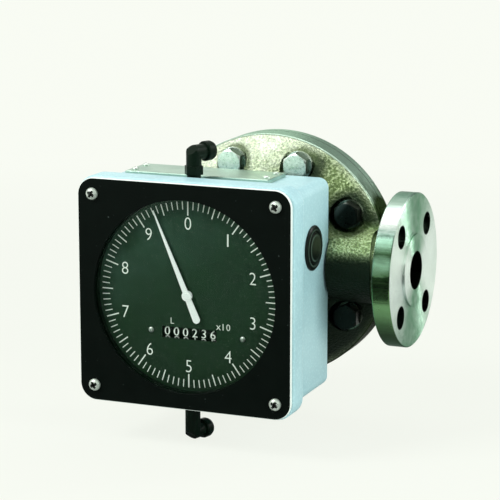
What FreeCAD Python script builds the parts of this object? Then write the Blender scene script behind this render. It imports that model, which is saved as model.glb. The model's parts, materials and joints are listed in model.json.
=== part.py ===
import FreeCAD, Part
import math
import os

# Positive displacement flow meter with two lobed rotors and a mechanical register.
# Origin: centre of the inlet flange's raised face. X runs along the pipe to the outlet,
# Y runs back from the dial, Z is up. Millimetres.

V = FreeCAD.Vector
X_AXIS = V(1, 0, 0)
Y_AXIS = V(0, 1, 0)
Z_AXIS = V(0, 0, 1)

# Pipe connections, 1 inch class 150
BODY_TO_FACE = 24.0
FLANGE_R = 54.0
FLANGE_THICK = 12.7
RAISED_FACE_INSET = 28.6
RAISED_FACE_HEIGHT = 1.6
FLANGE_HOLE_INSET = 14.3
FLANGE_HOLES = 4
FLANGE_HOLE_R = 7.95
PORT_R = 12.5
PORT_MOUTH_R = 13.3
PORT_MOUTH_LENGTH = 15.0
NECK_INSET = 28.0
NECK_FILLET = 4.0

# Meter casting and its rear cover
BODY_R = 88.0
RIM_FRONT_Y = 8.5
PARTING_Y = 24.5
DOME_MID_INSET = 18.0
DOME_MID_Y = -6.0
SEAT_INSET = 38.0
SEAT_Y = -15.0
SEAT_MARGIN = 1.5
RIM_CHAMFER = 1.5
COVER_THICK = 9.0
COVER_PAD_INSET = 36.0
COVER_PAD_HEIGHT = 2.0
BOLT_CIRCLE_INSET = 15.2
BOLT_ANGLES = (30.0, 70.0, 110.0, 150.0, 210.0, 250.0, 290.0, 330.0)
BOLT_R = 5.0
BOLT_HEAD_FLATS = 17.0
BOLT_HEAD_HEIGHT = 7.5
BOLT_HOLE_CLEARANCE = 0.5
SPOT_FACE_Y = 1.0
SPOT_FACE_R = 12.0
SPRING_WASHER_R = 10.0
SPRING_WASHER_THICK = 2.8
SPRING_WASHER_GAP = 1.6
SEAL_TO_BOLTS = 11.3
SEAL_SECTION_R = 1.2

# Measuring chamber: cycloidal rotors of two lobes
CHAMBER_TO_PLATE = 6.0
LOBE_CLEARANCE = 0.15
CHAMBER_CLEARANCE = 0.15
CHAMBER_FRONT_Y = -3.0
CHAMBER_DEPTH = 19.65
ROTOR_END_CLEARANCE = 0.15
FRONT_PLATE_THICK = 4.0
REAR_PLATE_THICK = 4.5
PLATE_TO_SEAL = 5.5
PLATE_CLEARANCE = 0.1
ROTOR_SHAFT_R = 5.0
RUNNING_CLEARANCE = 0.05
BUSH_R = 7.5
TIMING_TEETH = 32
TIMING_WIDTH = 5.0
TIMING_GAP = 0.45
GEAR_RECESS_INSET = 10.0
GEAR_RECESS_CLEARANCE = 1.6
THROAT_HALF_WIDTH = 9.0
DRIVE_MAGNET_SHARE = 0.35
DRIVE_MAGNET_THICK = 3.6
MAGNET_POCKET_DEPTH = 5.0
MAGNET_GAP = 0.7
PLATE_SCREW_R = 2.0
PLATE_SCREW_INSET = 6.0
PLATE_SCREW_HEAD_HEIGHT = 2.2
PLATE_SCREW_SOCKET = 1.4
PLATE_SCREW_DEPTH = 8.0
PLATE_SCREW_TIP_GAP = 1.0

# Register housing: square box with a deeper front cover
REGISTER_DROP_SHARE = 0.265
FRONT_Y = -98.0
CASE_STEP = 5.3
CASE_CORNER_R = 7.0
CASE_WALL = 3.0
CASE_BACK_WALL = 3.5
COVER_LIP = 1.1
COVER_CORNER_R = 13.0
COVER_EDGE_R = 1.6
COVER_DEPTH = 16.9
BEZEL_INSET = 9.8
BEZEL_CORNER_R = 12.0
BEZEL_THICK = 2.5
BEZEL_EDGE = 0.4
BEZEL_GASKET_THICK = 0.6
CASE_GASKET_THICK = 0.8
WINDOW_MARGIN = 11.2
GLASS_LAP = 4.0
GLASS_THICK = 2.5
SEAT_CLEARANCE = 0.3
DIAL_SETBACK = 9.0
DIAL_THICK = 1.0
DIAL_SCREW_LEFT = 28.0
DIAL_SCREW_LEFT_DROP = 26.4
DIAL_SCREW_RIGHT = 40.0
DIAL_SCREW_RIGHT_DROP = 27.0
DIAL_SCREW_HEAD_R = 1.9
DIAL_SCREW_HEAD_HEIGHT = 1.1
SCREW_INSET = 11.0
SCREW_R = 2.0
SCREW_HEAD_R = 4.2
SCREW_HEAD_HEIGHT = 2.9
SCREW_BOSS_R = 5.6
SCREW_LENGTH = 34.0
SCREW_BOSS_TAIL = 6.0
SCREW_TIP_GAP = 2.0
SCREW_PASS_CLEARANCE = 0.3
CASE_SCREW_INSET = 11.0
CASE_SCREW_HEAD_R = 3.6
CASE_SCREW_HEAD_HEIGHT = 2.4
CASE_SCREW_DEPTH = 6.0
CASE_SCREW_TIP_GAP = 0.5

# Movement: gear plates, reduction box, pointer and counter
GEAR_MODULE = 0.8
PINION_TEETH = 18
WHEEL_TEETH = 40
GEAR_BACKLASH = 0.12
WHEEL_WIDTH = 3.0
PLATE_HALF = 50.0
PLATE_THICK = 1.5
BACK_PLATE_THICK = 2.0
BACK_PLATE_Y = -56.0
PILLAR_PITCH = 46.0
PILLAR_R = 2.5
WHEEL_Y = -60.0
ARBOR_R = 1.5
TENTH_MODULE = 0.5
TENTH_TEETH = (12, 40, 13, 39)
TENTH_WIDTH = 2.2
TENTH_GAP = 0.4
IDLER_STUD_R = 1.2
DRUM_R = 10.0
DRUM_COUNT = 6
DRUM_PITCH = 6.8
DRUM_WIDTH = 6.4
DRUM_WALL = 1.3
DRUM_CENTRE_X = 0.4
DRUM_AXIS_Z = -27.0
DRUM_TO_DIAL = 0.7
COUNTER_SLOT_HALF_LENGTH = 20.3
COUNTER_SLOT_HALF_HEIGHT = 4.0
BRACKET_THICK = 1.2
BEVEL_TEETH = 16
BEVEL_R = 6.0
BEVEL_FACE = 2.8
GEARBOX_R = 19.0
GEARBOX_LENGTH = 28.0
FOLLOWER_THICK = 4.2
FOLLOWER_GAP = 0.8
POINTER_READING = 9.35
POINTER_MARGIN = 4.5
POINTER_TAIL = 20.0
POINTER_THICK = 0.6
POINTER_HUB_R = 3.5

# Fittings on the housing
GLAND_SETBACK = 30.0
TOP_GLAND_X = -4.6
BOTTOM_GLAND_X = -6.4
TOP_GLAND_RISE = 20.7
BOTTOM_GLAND_RISE = 28.7
TOP_GLAND_TURN = 23.0
BOTTOM_GLAND_TURN = 15.0
GLAND_TUBE_R = 5.3
GLAND_NECK_R = 4.8
GLAND_NECK_HEIGHT = 5.9
GLAND_HEX_FLATS = 11.4
GLAND_HEX_HEIGHT = 5.9
GLAND_NUT_R = 6.9
GLAND_NUT_LENGTH = 8.5
GLAND_ARM = 9.0
GLAND_BORE_R = 2.4
PLUG_R = 15.6
PLUG_DOME = 2.6
PLUG_SETBACK = 51.7
PLUG_LIP = 2.0
PLUG_TAIL = 1.5
PLUG_Z = 30.5
TOP_PLATE_INSET = 20.5
TOP_PLATE_WIDTH = 33.0
TOP_PLATE_THICK = 3.0
TOP_PLATE_X = -8.8
TOP_PLATE_SETBACK = 59.0
TOP_PLATE_LAND = 5.0
TOP_SCREW_HEAD_R = 2.3
TOP_SCREW_HEAD_HEIGHT = 1.5
SMALL_SCREW_R = 1.2
TOP_SCREW_INSET = 4.2
TOP_SCREW_INSET_Y = 7.8

# Sizes and places worked out from the values above
FACE_TO_FACE = 2.0 * (BODY_R + BODY_TO_FACE)
FLANGE_PCD = 2.0 * (FLANGE_R - FLANGE_HOLE_INSET)
RAISED_FACE_R = FLANGE_R - RAISED_FACE_INSET
NECK_R = FLANGE_R - NECK_INSET
DOME_MID_R = BODY_R - DOME_MID_INSET
SEAT_R = BODY_R - SEAT_INSET
COVER_PAD_R = BODY_R - COVER_PAD_INSET
BOLT_CIRCLE_R = BODY_R - BOLT_CIRCLE_INSET
SEAL_CIRCLE_R = BOLT_CIRCLE_R - SEAL_TO_BOLTS
REAR_PLATE_R = SEAL_CIRCLE_R - PLATE_TO_SEAL
GEAR_RECESS_R = REAR_PLATE_R - GEAR_RECESS_INSET
PLATE_SCREW_CIRCLE_R = REAR_PLATE_R - PLATE_SCREW_INSET
ROTOR_SPACING = (REAR_PLATE_R - CHAMBER_TO_PLATE) / 1.25
ROLLING_R = ROTOR_SPACING / 8.0
DRIVE_MAGNET_R = ROTOR_SPACING * DRIVE_MAGNET_SHARE
FOLLOWER_R = DRIVE_MAGNET_R
CASE_SCREW_CIRCLE_R = SEAT_R - CASE_SCREW_INSET
BEZEL_HALF = BODY_R - BEZEL_INSET
COVER_HALF = BEZEL_HALF + COVER_LIP
CASE_HALF = COVER_HALF - CASE_STEP
WINDOW_R = BEZEL_HALF - WINDOW_MARGIN
GLASS_R = WINDOW_R + GLASS_LAP
SCREW_PITCH = BEZEL_HALF - SCREW_INSET
POINTER_LENGTH = WINDOW_R - POINTER_MARGIN
TOP_PLATE_LENGTH = 2.0 * (CASE_HALF - TOP_PLATE_INSET)
DIAL_Y = FRONT_Y + DIAL_SETBACK
GLAND_Y = FRONT_Y + GLAND_SETBACK
PLUG_Y = FRONT_Y + PLUG_SETBACK
TOP_PLATE_Y = FRONT_Y + TOP_PLATE_SETBACK
BODY_X = FACE_TO_FACE / 2.0
ROTOR_LOW_Z = -ROTOR_SPACING / 2.0
ROTOR_HIGH_Z = ROTOR_SPACING / 2.0
ROTOR_PITCH_R = ROTOR_SPACING / 2.0
ROTOR_TIP_R = ROTOR_PITCH_R + 2.0 * ROLLING_R
CHAMBER_R = ROTOR_TIP_R + CHAMBER_CLEARANCE
CHAMBER_BACK_Y = CHAMBER_FRONT_Y + CHAMBER_DEPTH
FRONT_PLATE_Y = CHAMBER_FRONT_Y - FRONT_PLATE_THICK
REAR_PLATE_Y = CHAMBER_BACK_Y
TIMING_Y = REAR_PLATE_Y + REAR_PLATE_THICK + TIMING_GAP
COVER_BACK_Y = PARTING_Y + COVER_THICK
GEAR_DISTANCE = GEAR_MODULE * (PINION_TEETH + WHEEL_TEETH) / 2.0
PINION_Z = ROTOR_LOW_Z
REGISTER_Z = -ROTOR_SPACING * REGISTER_DROP_SHARE
REGISTER_X = BODY_X - math.sqrt(GEAR_DISTANCE ** 2 - (REGISTER_Z - PINION_Z) ** 2)
COUNTER_Z = REGISTER_Z + DRUM_AXIS_Z
LAY_X = BODY_X + math.sqrt(GEAR_DISTANCE ** 2 - (COUNTER_Z - PINION_Z) ** 2)
BEZEL_BACK_Y = FRONT_Y + BEZEL_THICK
COVER_FRONT_Y = BEZEL_BACK_Y + BEZEL_GASKET_THICK
COVER_REAR_Y = COVER_FRONT_Y + COVER_DEPTH
CASE_FRONT_Y = COVER_REAR_Y + CASE_GASKET_THICK
CASE_REAR_Y = SEAT_Y
CASE_INNER_REAR_Y = CASE_REAR_Y - CASE_BACK_WALL
CASE_INNER_HALF = CASE_HALF - CASE_WALL
CASE_TOP_Z = REGISTER_Z + CASE_HALF
CASE_BOTTOM_Z = REGISTER_Z - CASE_HALF
GLASS_BACK_Y = BEZEL_BACK_Y + GLASS_THICK
DIAL_BACK_Y = DIAL_Y + DIAL_THICK
PLATE_BACK_Y = DIAL_BACK_Y + PLATE_THICK
DRUM_AXIS_Y = DIAL_BACK_Y + DRUM_TO_DIAL + DRUM_R
BACK_PLATE_BACK_Y = BACK_PLATE_Y + BACK_PLATE_THICK
GEARBOX_BACK_Y = BACK_PLATE_BACK_Y + GEARBOX_LENGTH
WHEEL_BACK_Y = WHEEL_Y + WHEEL_WIDTH
BRACKET_Y = DRUM_AXIS_Y + DRUM_R + 1.4
TENTH_BACK_Y = WHEEL_Y - TENTH_GAP - TENTH_WIDTH
TENTH_FRONT_Y = TENTH_BACK_Y - TENTH_GAP - TENTH_WIDTH
IDLER_X = LAY_X - TENTH_MODULE * (TENTH_TEETH[0] + TENTH_TEETH[1]) / 2.0
SCREW_CORNERS = [(sx * SCREW_PITCH, sz * SCREW_PITCH) for sx in (-1, 1) for sz in (-1, 1)]
PILLAR_CORNERS = [(sx * PILLAR_PITCH, sz * PILLAR_PITCH) for sx in (-1, 1) for sz in (-1, 1)]
DIAL_SCREWS = ((-DIAL_SCREW_LEFT, -DIAL_SCREW_LEFT_DROP), (DIAL_SCREW_RIGHT, -DIAL_SCREW_RIGHT_DROP))


def cylinder(axis, base, radius, length):
    return Part.makeCylinder(radius, length, base, axis)


def rod_y(x, z, radius, y0, y1):
    return cylinder(Y_AXIS, V(x, y0, z), radius, y1 - y0)


def rod_x(y, z, radius, x0, x1):
    return cylinder(X_AXIS, V(x0, y, z), radius, x1 - x0)


def rod_z(x, y, radius, z0, z1):
    return cylinder(Z_AXIS, V(x, y, z0), radius, z1 - z0)


def tube_y(x, z, outer, inner, y0, y1):
    return rod_y(x, z, outer, y0, y1).cut(rod_y(x, z, inner, y0, y1))


def block(x0, x1, y0, y1, z0, z1):
    return Part.makeBox(x1 - x0, y1 - y0, z1 - z0, V(x0, y0, z0))


def fuse_all(shapes):
    whole = shapes[0].fuse(list(shapes[1:]))
    return whole.removeSplitter()


def cut_all(shape, tools):
    return shape.cut(list(tools))


def group(shapes):
    return Part.makeCompound(list(shapes))


def polygon_face(points):
    return Part.Face(Part.makePolygon(list(points) + [points[0]]))


def turned_y(x, z, outline):
    # outline: (radius, y) points of a closed section, turned about the line (x, z)
    face = polygon_face([V(x + r, y, z) for r, y in outline])
    return face.revolve(V(x, 0, z), Y_AXIS, 360)


def square_prism(half, radius, y0, y1, x=None, z=None):
    # a rounded square about the register's centre line
    cx = REGISTER_X if x is None else x
    cz = REGISTER_Z if z is None else z
    body = block(cx - half, cx + half, y0, y1, cz - half, cz + half)
    edges = [e for e in body.Edges if abs(e.tangentAt(e.FirstParameter).y) > 0.9]
    return body.makeFillet(radius, edges)


def edges_at_y(shape, y):
    return [e for e in shape.Edges if abs(e.BoundBox.YMin - y) < 1e-6 and abs(e.BoundBox.YMax - y) < 1e-6]


def hex_points(x, y, z, flats, along):
    r = flats / math.sqrt(3.0)
    turn = [math.radians(60 * k + 30) for k in range(6)]
    if along == "y":
        return [V(x + r * math.cos(a), y, z + r * math.sin(a)) for a in turn]
    return [V(x + r * math.cos(a), y + r * math.sin(a), z) for a in turn]


def register_point(dx, y, dz):
    return V(REGISTER_X + dx, y, REGISTER_Z + dz)


# Gears
def involute(angle):
    return math.tan(angle) - angle


def gear_outline(teeth, module, start_angle, backlash):
    # corner points of straight-sided chords of a 20 degree involute tooth, tooth 0 at start_angle
    pressure = math.radians(20)
    pitch_r = module * teeth / 2.0
    base_r = pitch_r * math.cos(pressure)
    root_r = pitch_r - 1.25 * module
    tip_r = pitch_r + module
    half_at_pitch = math.pi / (2 * teeth) - backlash / (2 * pitch_r)

    def half_angle(radius):
        if radius <= base_r:
            return half_at_pitch + involute(pressure)
        return half_at_pitch + involute(pressure) - involute(math.acos(base_r / radius))

    points = []
    for k in range(teeth):
        middle = start_angle + 2 * math.pi * k / teeth
        for radius in (root_r, pitch_r, tip_r):
            points.append((radius, middle - half_angle(radius)))
        for radius in (tip_r, pitch_r, root_r):
            points.append((radius, middle + half_angle(radius)))
    return points


def spur_gear(x, z, teeth, module, start_angle, y0, width, bore):
    # angles are measured from +X towards +Z
    outline = gear_outline(teeth, module, start_angle, GEAR_BACKLASH)
    face = polygon_face([V(x + r * math.cos(a), y0, z + r * math.sin(a)) for r, a in outline])
    return face.extrude(V(0, width, 0)).cut(rod_y(x, z, bore, y0, y0 + width))


def mesh_angle(own_teeth, other_teeth, other_start, line_angle):
    # start angle of a gear that meshes with another seen from it at line_angle + 180 degrees
    # line_angle points from the other gear to this one
    offset = (other_start - line_angle) * other_teeth / own_teeth
    return line_angle + math.pi - offset + math.pi / own_teeth


def bevel_gear(apex, axis, side, start_angle, bore):
    # mitre gear: axis points from the apex to the gear, side is a direction square to it
    module = 2.0 * BEVEL_R / BEVEL_TEETH
    outline = gear_outline(BEVEL_TEETH, module, start_angle, GEAR_BACKLASH)
    third = axis.cross(side)
    inner = (BEVEL_R - BEVEL_FACE) / BEVEL_R
    wires = []
    for share in (1.0, inner):
        points = []
        for r, a in outline:
            radial = side * (math.cos(a) * r * share) + third * (math.sin(a) * r * share)
            points.append(apex + axis * (BEVEL_R * share) + radial)
        wires.append(Part.makePolygon(points + [points[0]]))
    teeth = Part.makeLoft(wires, True, True)
    hub = cylinder(axis, apex + axis * BEVEL_R, BEVEL_R * 0.62, 1.5)
    hole = cylinder(axis, apex, bore, BEVEL_R + 4.0)
    return fuse_all([teeth, hub]).cut(hole)


# Pipe body and measuring chamber
def figure_eight(radius, y0, y1):
    lower = rod_y(BODY_X, ROTOR_LOW_Z, radius, y0, y1)
    upper = rod_y(BODY_X, ROTOR_HIGH_Z, radius, y0, y1)
    return lower.fuse(upper).removeSplitter()


def bolt_place(angle, radius=BOLT_CIRCLE_R):
    a = math.radians(angle)
    return BODY_X + radius * math.cos(a), radius * math.sin(a)


def dome():
    p = [V(BODY_X, SEAT_Y, 0), V(BODY_X + SEAT_R, SEAT_Y, 0)]
    rim = V(BODY_X + BODY_R - RIM_CHAMFER, RIM_FRONT_Y, 0)
    side = V(BODY_X + BODY_R, RIM_FRONT_Y + RIM_CHAMFER, 0)
    back = V(BODY_X + BODY_R, PARTING_Y, 0)
    end = V(BODY_X, PARTING_Y, 0)
    crown = Part.Arc(p[1], V(BODY_X + DOME_MID_R, DOME_MID_Y, 0), rim).toShape()
    lines = [Part.makeLine(p[0], p[1]), crown, Part.makeLine(rim, side)]
    lines += [Part.makeLine(side, back), Part.makeLine(back, end), Part.makeLine(end, p[0])]
    return Part.Face(Part.Wire(lines)).revolve(V(BODY_X, 0, 0), Y_AXIS, 360)


def pipe_end(direction):
    # one neck and flange, modelled at the inlet and turned round for the outlet
    flange = rod_x(0, 0, FLANGE_R, RAISED_FACE_HEIGHT, RAISED_FACE_HEIGHT + FLANGE_THICK)
    rims = [e for e in flange.Edges if e.Length > 1.9 * math.pi * FLANGE_R]
    flange = flange.makeChamfer(0.6, rims)
    raised = rod_x(0, 0, RAISED_FACE_R, 0, RAISED_FACE_HEIGHT)
    back_x = RAISED_FACE_HEIGHT + FLANGE_THICK
    reach = BODY_X - ROTOR_TIP_R
    f = NECK_FILLET
    corner = f * (1 - math.sqrt(0.5))
    curve = Part.Arc(V(back_x, 0, NECK_R + f), V(back_x + corner, 0, NECK_R + corner),
                     V(back_x + f, 0, NECK_R))
    outline = [
        curve.toShape(),
        Part.makeLine(V(back_x + f, 0, NECK_R), V(reach, 0, NECK_R)),
        Part.makeLine(V(reach, 0, NECK_R), V(reach, 0, 0)),
        Part.makeLine(V(reach, 0, 0), V(back_x, 0, 0)),
        Part.makeLine(V(back_x, 0, 0), V(back_x, 0, NECK_R + f)),
    ]
    neck = Part.Face(Part.Wire(outline)).revolve(V(0, 0, 0), X_AXIS, 360)
    end = flange.fuse([raised, neck])
    if direction < 0:
        end = end.mirror(V(BODY_X, 0, 0), X_AXIS)
    return end


def flange_holes(x0, x1):
    holes = []
    for k in range(FLANGE_HOLES):
        a = math.radians(360.0 / FLANGE_HOLES * (k + 0.5))
        y = FLANGE_PCD / 2.0 * math.cos(a)
        z = FLANGE_PCD / 2.0 * math.sin(a)
        holes.append(rod_x(y, z, FLANGE_HOLE_R, x0, x1))
    return holes


def meter_body():
    casting = fuse_all([dome(), pipe_end(1), pipe_end(-1)])
    inside = BODY_X - ROTOR_TIP_R + 3.0
    throat_depth = 12.0
    tools = [
        rod_x(0, 0, PORT_R, 0, inside),
        rod_x(0, 0, PORT_R, FACE_TO_FACE - inside, FACE_TO_FACE),
        rod_x(0, 0, PORT_MOUTH_R, 0, PORT_MOUTH_LENGTH),
        rod_x(0, 0, PORT_MOUTH_R, FACE_TO_FACE - PORT_MOUTH_LENGTH, FACE_TO_FACE),
        block(inside - 1.0, FACE_TO_FACE - inside + 1.0,
              CHAMBER_FRONT_Y, CHAMBER_FRONT_Y + throat_depth + 3.0,
              -THROAT_HALF_WIDTH, THROAT_HALF_WIDTH),
        figure_eight(CHAMBER_R, FRONT_PLATE_Y, CHAMBER_BACK_Y),
        rod_y(BODY_X, 0, REAR_PLATE_R + PLATE_CLEARANCE, REAR_PLATE_Y, PARTING_Y),
        rod_y(BODY_X, ROTOR_LOW_Z, DRIVE_MAGNET_R + 1.0, FRONT_PLATE_Y - MAGNET_POCKET_DEPTH, FRONT_PLATE_Y),
    ]
    groove_half = SEAL_SECTION_R + 0.4
    tools.append(tube_y(BODY_X, 0, SEAL_CIRCLE_R + groove_half, SEAL_CIRCLE_R - groove_half,
                        PARTING_Y - 2 * SEAL_SECTION_R, PARTING_Y))
    for angle in BOLT_ANGLES:
        x, z = bolt_place(angle)
        tools.append(rod_y(x, z, BOLT_R + BOLT_HOLE_CLEARANCE, SEAT_Y - 20, PARTING_Y))
        tools.append(rod_y(x, z, SPOT_FACE_R, SEAT_Y - 20, SPOT_FACE_Y))
    # the necks are flat where the register sits against them and level with the cover's joint
    tools.append(rod_y(BODY_X, 0, BODY_R + 1.0, PARTING_Y, PARTING_Y + NECK_R))
    flat = CASE_HALF + SEAT_MARGIN
    tools.append(block(REGISTER_X - flat, REGISTER_X + flat, SEAT_Y - 20, SEAT_Y, -NECK_R - 2, NECK_R + 2))
    back_x = RAISED_FACE_HEIGHT + FLANGE_THICK
    tools += flange_holes(RAISED_FACE_HEIGHT, back_x)
    tools += flange_holes(FACE_TO_FACE - back_x, FACE_TO_FACE - RAISED_FACE_HEIGHT)
    for x, z in case_screw_places():
        tools.append(rod_y(x, z, SCREW_R, SEAT_Y, SEAT_Y + CASE_SCREW_DEPTH))
    for angle in plate_screw_angles():
        x, z = bolt_place(angle, PLATE_SCREW_CIRCLE_R)
        tools.append(rod_y(x, z, PLATE_SCREW_R, REAR_PLATE_Y - PLATE_SCREW_DEPTH, REAR_PLATE_Y))
    return cut_all(casting, tools)


def plate_screw_angles():
    return (0.0, 180.0)


def case_screw_places():
    reach = CASE_SCREW_CIRCLE_R * math.sqrt(0.5)
    return [(BODY_X + sx * reach, sz * reach) for sx in (-1, 1) for sz in (-1, 1)]


def rear_cover():
    outline = [
        (0, TIMING_Y + TIMING_WIDTH + GEAR_RECESS_CLEARANCE),
        (GEAR_RECESS_R, TIMING_Y + TIMING_WIDTH + GEAR_RECESS_CLEARANCE),
        (GEAR_RECESS_R, PARTING_Y),
        (BODY_R, PARTING_Y),
        (BODY_R, COVER_BACK_Y - RIM_CHAMFER),
        (BODY_R - RIM_CHAMFER, COVER_BACK_Y),
        (COVER_PAD_R + COVER_PAD_HEIGHT, COVER_BACK_Y),
        (COVER_PAD_R, COVER_BACK_Y + COVER_PAD_HEIGHT),
        (0, COVER_BACK_Y + COVER_PAD_HEIGHT),
    ]
    holes = []
    for angle in BOLT_ANGLES:
        x, z = bolt_place(angle)
        holes.append(rod_y(x, z, BOLT_R, PARTING_Y, COVER_BACK_Y))
    return cut_all(turned_y(BODY_X, 0, outline), holes)


def cover_o_ring():
    return Part.makeTorus(SEAL_CIRCLE_R, SEAL_SECTION_R, V(BODY_X, PARTING_Y - SEAL_SECTION_R, 0), Y_AXIS)


def hex_bolt(x, z, seat_y):
    # head towards the front, with the chamfered crown of a forged bolt
    top_y = seat_y - BOLT_HEAD_HEIGHT
    head = polygon_face(hex_points(x, seat_y, z, BOLT_HEAD_FLATS, "y")).extrude(V(0, -BOLT_HEAD_HEIGHT, 0))
    crown_r = BOLT_HEAD_FLATS / 2.0 * 0.97
    wide = crown_r + BOLT_HEAD_HEIGHT / math.tan(math.radians(30))
    crown = Part.makeCone(crown_r, wide, BOLT_HEAD_HEIGHT, V(x, top_y, z), Y_AXIS)
    shank = rod_y(x, z, BOLT_R - RUNNING_CLEARANCE, seat_y, COVER_BACK_Y - 1.0)
    return head.common(crown).fuse(shank).removeSplitter()


def cover_bolts():
    seat = SPOT_FACE_Y - SPRING_WASHER_THICK
    return group([hex_bolt(*bolt_place(a), seat) for a in BOLT_ANGLES])


def spring_washers():
    rings = []
    for angle in BOLT_ANGLES:
        x, z = bolt_place(angle)
        ring = tube_y(x, z, SPRING_WASHER_R, BOLT_R + RUNNING_CLEARANCE,
                      SPOT_FACE_Y - SPRING_WASHER_THICK, SPOT_FACE_Y)
        slot = block(x, x + SPRING_WASHER_R + 1, SPOT_FACE_Y - SPRING_WASHER_THICK, SPOT_FACE_Y,
                     z - SPRING_WASHER_GAP / 2, z + SPRING_WASHER_GAP / 2)
        slot.rotate(V(x, SPOT_FACE_Y - SPRING_WASHER_THICK / 2, z), V(1, 0, 0), 30)
        slot.rotate(V(x, 0, z), Y_AXIS, 60)
        rings.append(ring.cut(slot))
    return group(rings)


def rotor_outline(cx, cz, turn):
    # closed curve of the rotor: lobes are epicycloids and waists are hypocycloids on the pitch circle
    points = []
    steps = 8
    for arch in range(4):
        outside = arch % 2 == 0
        for k in range(steps):
            roll = 2 * math.pi * k / steps
            along = turn - math.pi / 4 + arch * math.pi / 2 + roll * ROLLING_R / ROTOR_PITCH_R
            touch = V(math.cos(along), 0, math.sin(along)) * ROTOR_PITCH_R
            if k == 0:
                toward = V(-math.sin(along), 0, math.cos(along)) * (1 if outside else -1)
                point = touch + toward * LOBE_CLEARANCE
            else:
                sign = 1 if outside else -1
                centre = touch * (1 + sign * ROLLING_R / ROTOR_PITCH_R)
                spin = along + sign * roll
                arm = V(math.cos(spin), 0, math.sin(spin)) * (-sign * ROLLING_R)
                traced = centre + arm
                inward = (touch - traced) * sign
                inward.normalize()
                point = traced + inward * LOBE_CLEARANCE
            points.append(V(cx + point.x, 0, cz + point.z))
    return points


def rotor(z, turn):
    curve = Part.BSplineCurve()
    curve.interpolate(rotor_outline(BODY_X, z, turn), PeriodicFlag=True)
    face = Part.Face(Part.Wire(curve.toShape()))
    y0 = CHAMBER_FRONT_Y + ROTOR_END_CLEARANCE
    face.translate(V(0, y0, 0))
    solid = face.extrude(V(0, CHAMBER_DEPTH - 2 * ROTOR_END_CLEARANCE, 0))
    return solid.cut(rod_y(BODY_X, z, ROTOR_SHAFT_R, y0 - 1, y0 + CHAMBER_DEPTH))


def bearing_plate_front():
    plate = figure_eight(CHAMBER_R - PLATE_CLEARANCE, FRONT_PLATE_Y, CHAMBER_FRONT_Y)
    holes = [rod_y(BODY_X, z, BUSH_R, FRONT_PLATE_Y, CHAMBER_FRONT_Y) for z in (ROTOR_LOW_Z, ROTOR_HIGH_Z)]
    return cut_all(plate, holes)


def bearing_plate_rear():
    plate = rod_y(BODY_X, 0, REAR_PLATE_R, REAR_PLATE_Y, REAR_PLATE_Y + REAR_PLATE_THICK)
    y1 = REAR_PLATE_Y + REAR_PLATE_THICK
    holes = [rod_y(BODY_X, z, BUSH_R, REAR_PLATE_Y, y1) for z in (ROTOR_LOW_Z, ROTOR_HIGH_Z)]
    for angle in plate_screw_angles():
        holes.append(rod_y(*bolt_place(angle, PLATE_SCREW_CIRCLE_R), PLATE_SCREW_R, REAR_PLATE_Y, y1))
    return cut_all(plate, holes)


def bushes(y0, y1):
    bore = ROTOR_SHAFT_R + RUNNING_CLEARANCE
    return group([tube_y(BODY_X, z, BUSH_R, bore, y0, y1) for z in (ROTOR_LOW_Z, ROTOR_HIGH_Z)])


def plate_screws():
    screws = []
    head_y = REAR_PLATE_Y + REAR_PLATE_THICK
    for angle in plate_screw_angles():
        x, z = bolt_place(angle, PLATE_SCREW_CIRCLE_R)
        head = tube_y(x, z, PLATE_SCREW_R * 1.75, PLATE_SCREW_R * 0.8,
                      head_y, head_y + PLATE_SCREW_HEAD_HEIGHT)
        shank = rod_y(x, z, PLATE_SCREW_R, REAR_PLATE_Y - PLATE_SCREW_DEPTH + PLATE_SCREW_TIP_GAP,
                      head_y + PLATE_SCREW_HEAD_HEIGHT - PLATE_SCREW_SOCKET)
        screws.append(head.fuse(shank).removeSplitter())
    return group(screws)


def rotor_shaft(z, front_y):
    back = TIMING_Y + TIMING_WIDTH + 0.6
    shaft = rod_y(BODY_X, z, ROTOR_SHAFT_R, front_y, back)
    return shaft.makeChamfer(0.5, edges_at_y(shaft, back))


def timing_gear(z, start):
    module = ROTOR_SPACING / TIMING_TEETH
    return spur_gear(BODY_X, z, TIMING_TEETH, module, start, TIMING_Y, TIMING_WIDTH, ROTOR_SHAFT_R)


def drive_magnet():
    y1 = FRONT_PLATE_Y - MAGNET_GAP
    return tube_y(BODY_X, ROTOR_LOW_Z, DRIVE_MAGNET_R, ROTOR_SHAFT_R, y1 - DRIVE_MAGNET_THICK, y1)


# Register housing
def corner_rods(radius, y0, y1):
    return [rod_y(REGISTER_X + dx, REGISTER_Z + dz, radius, y0, y1) for dx, dz in SCREW_CORNERS]


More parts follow.
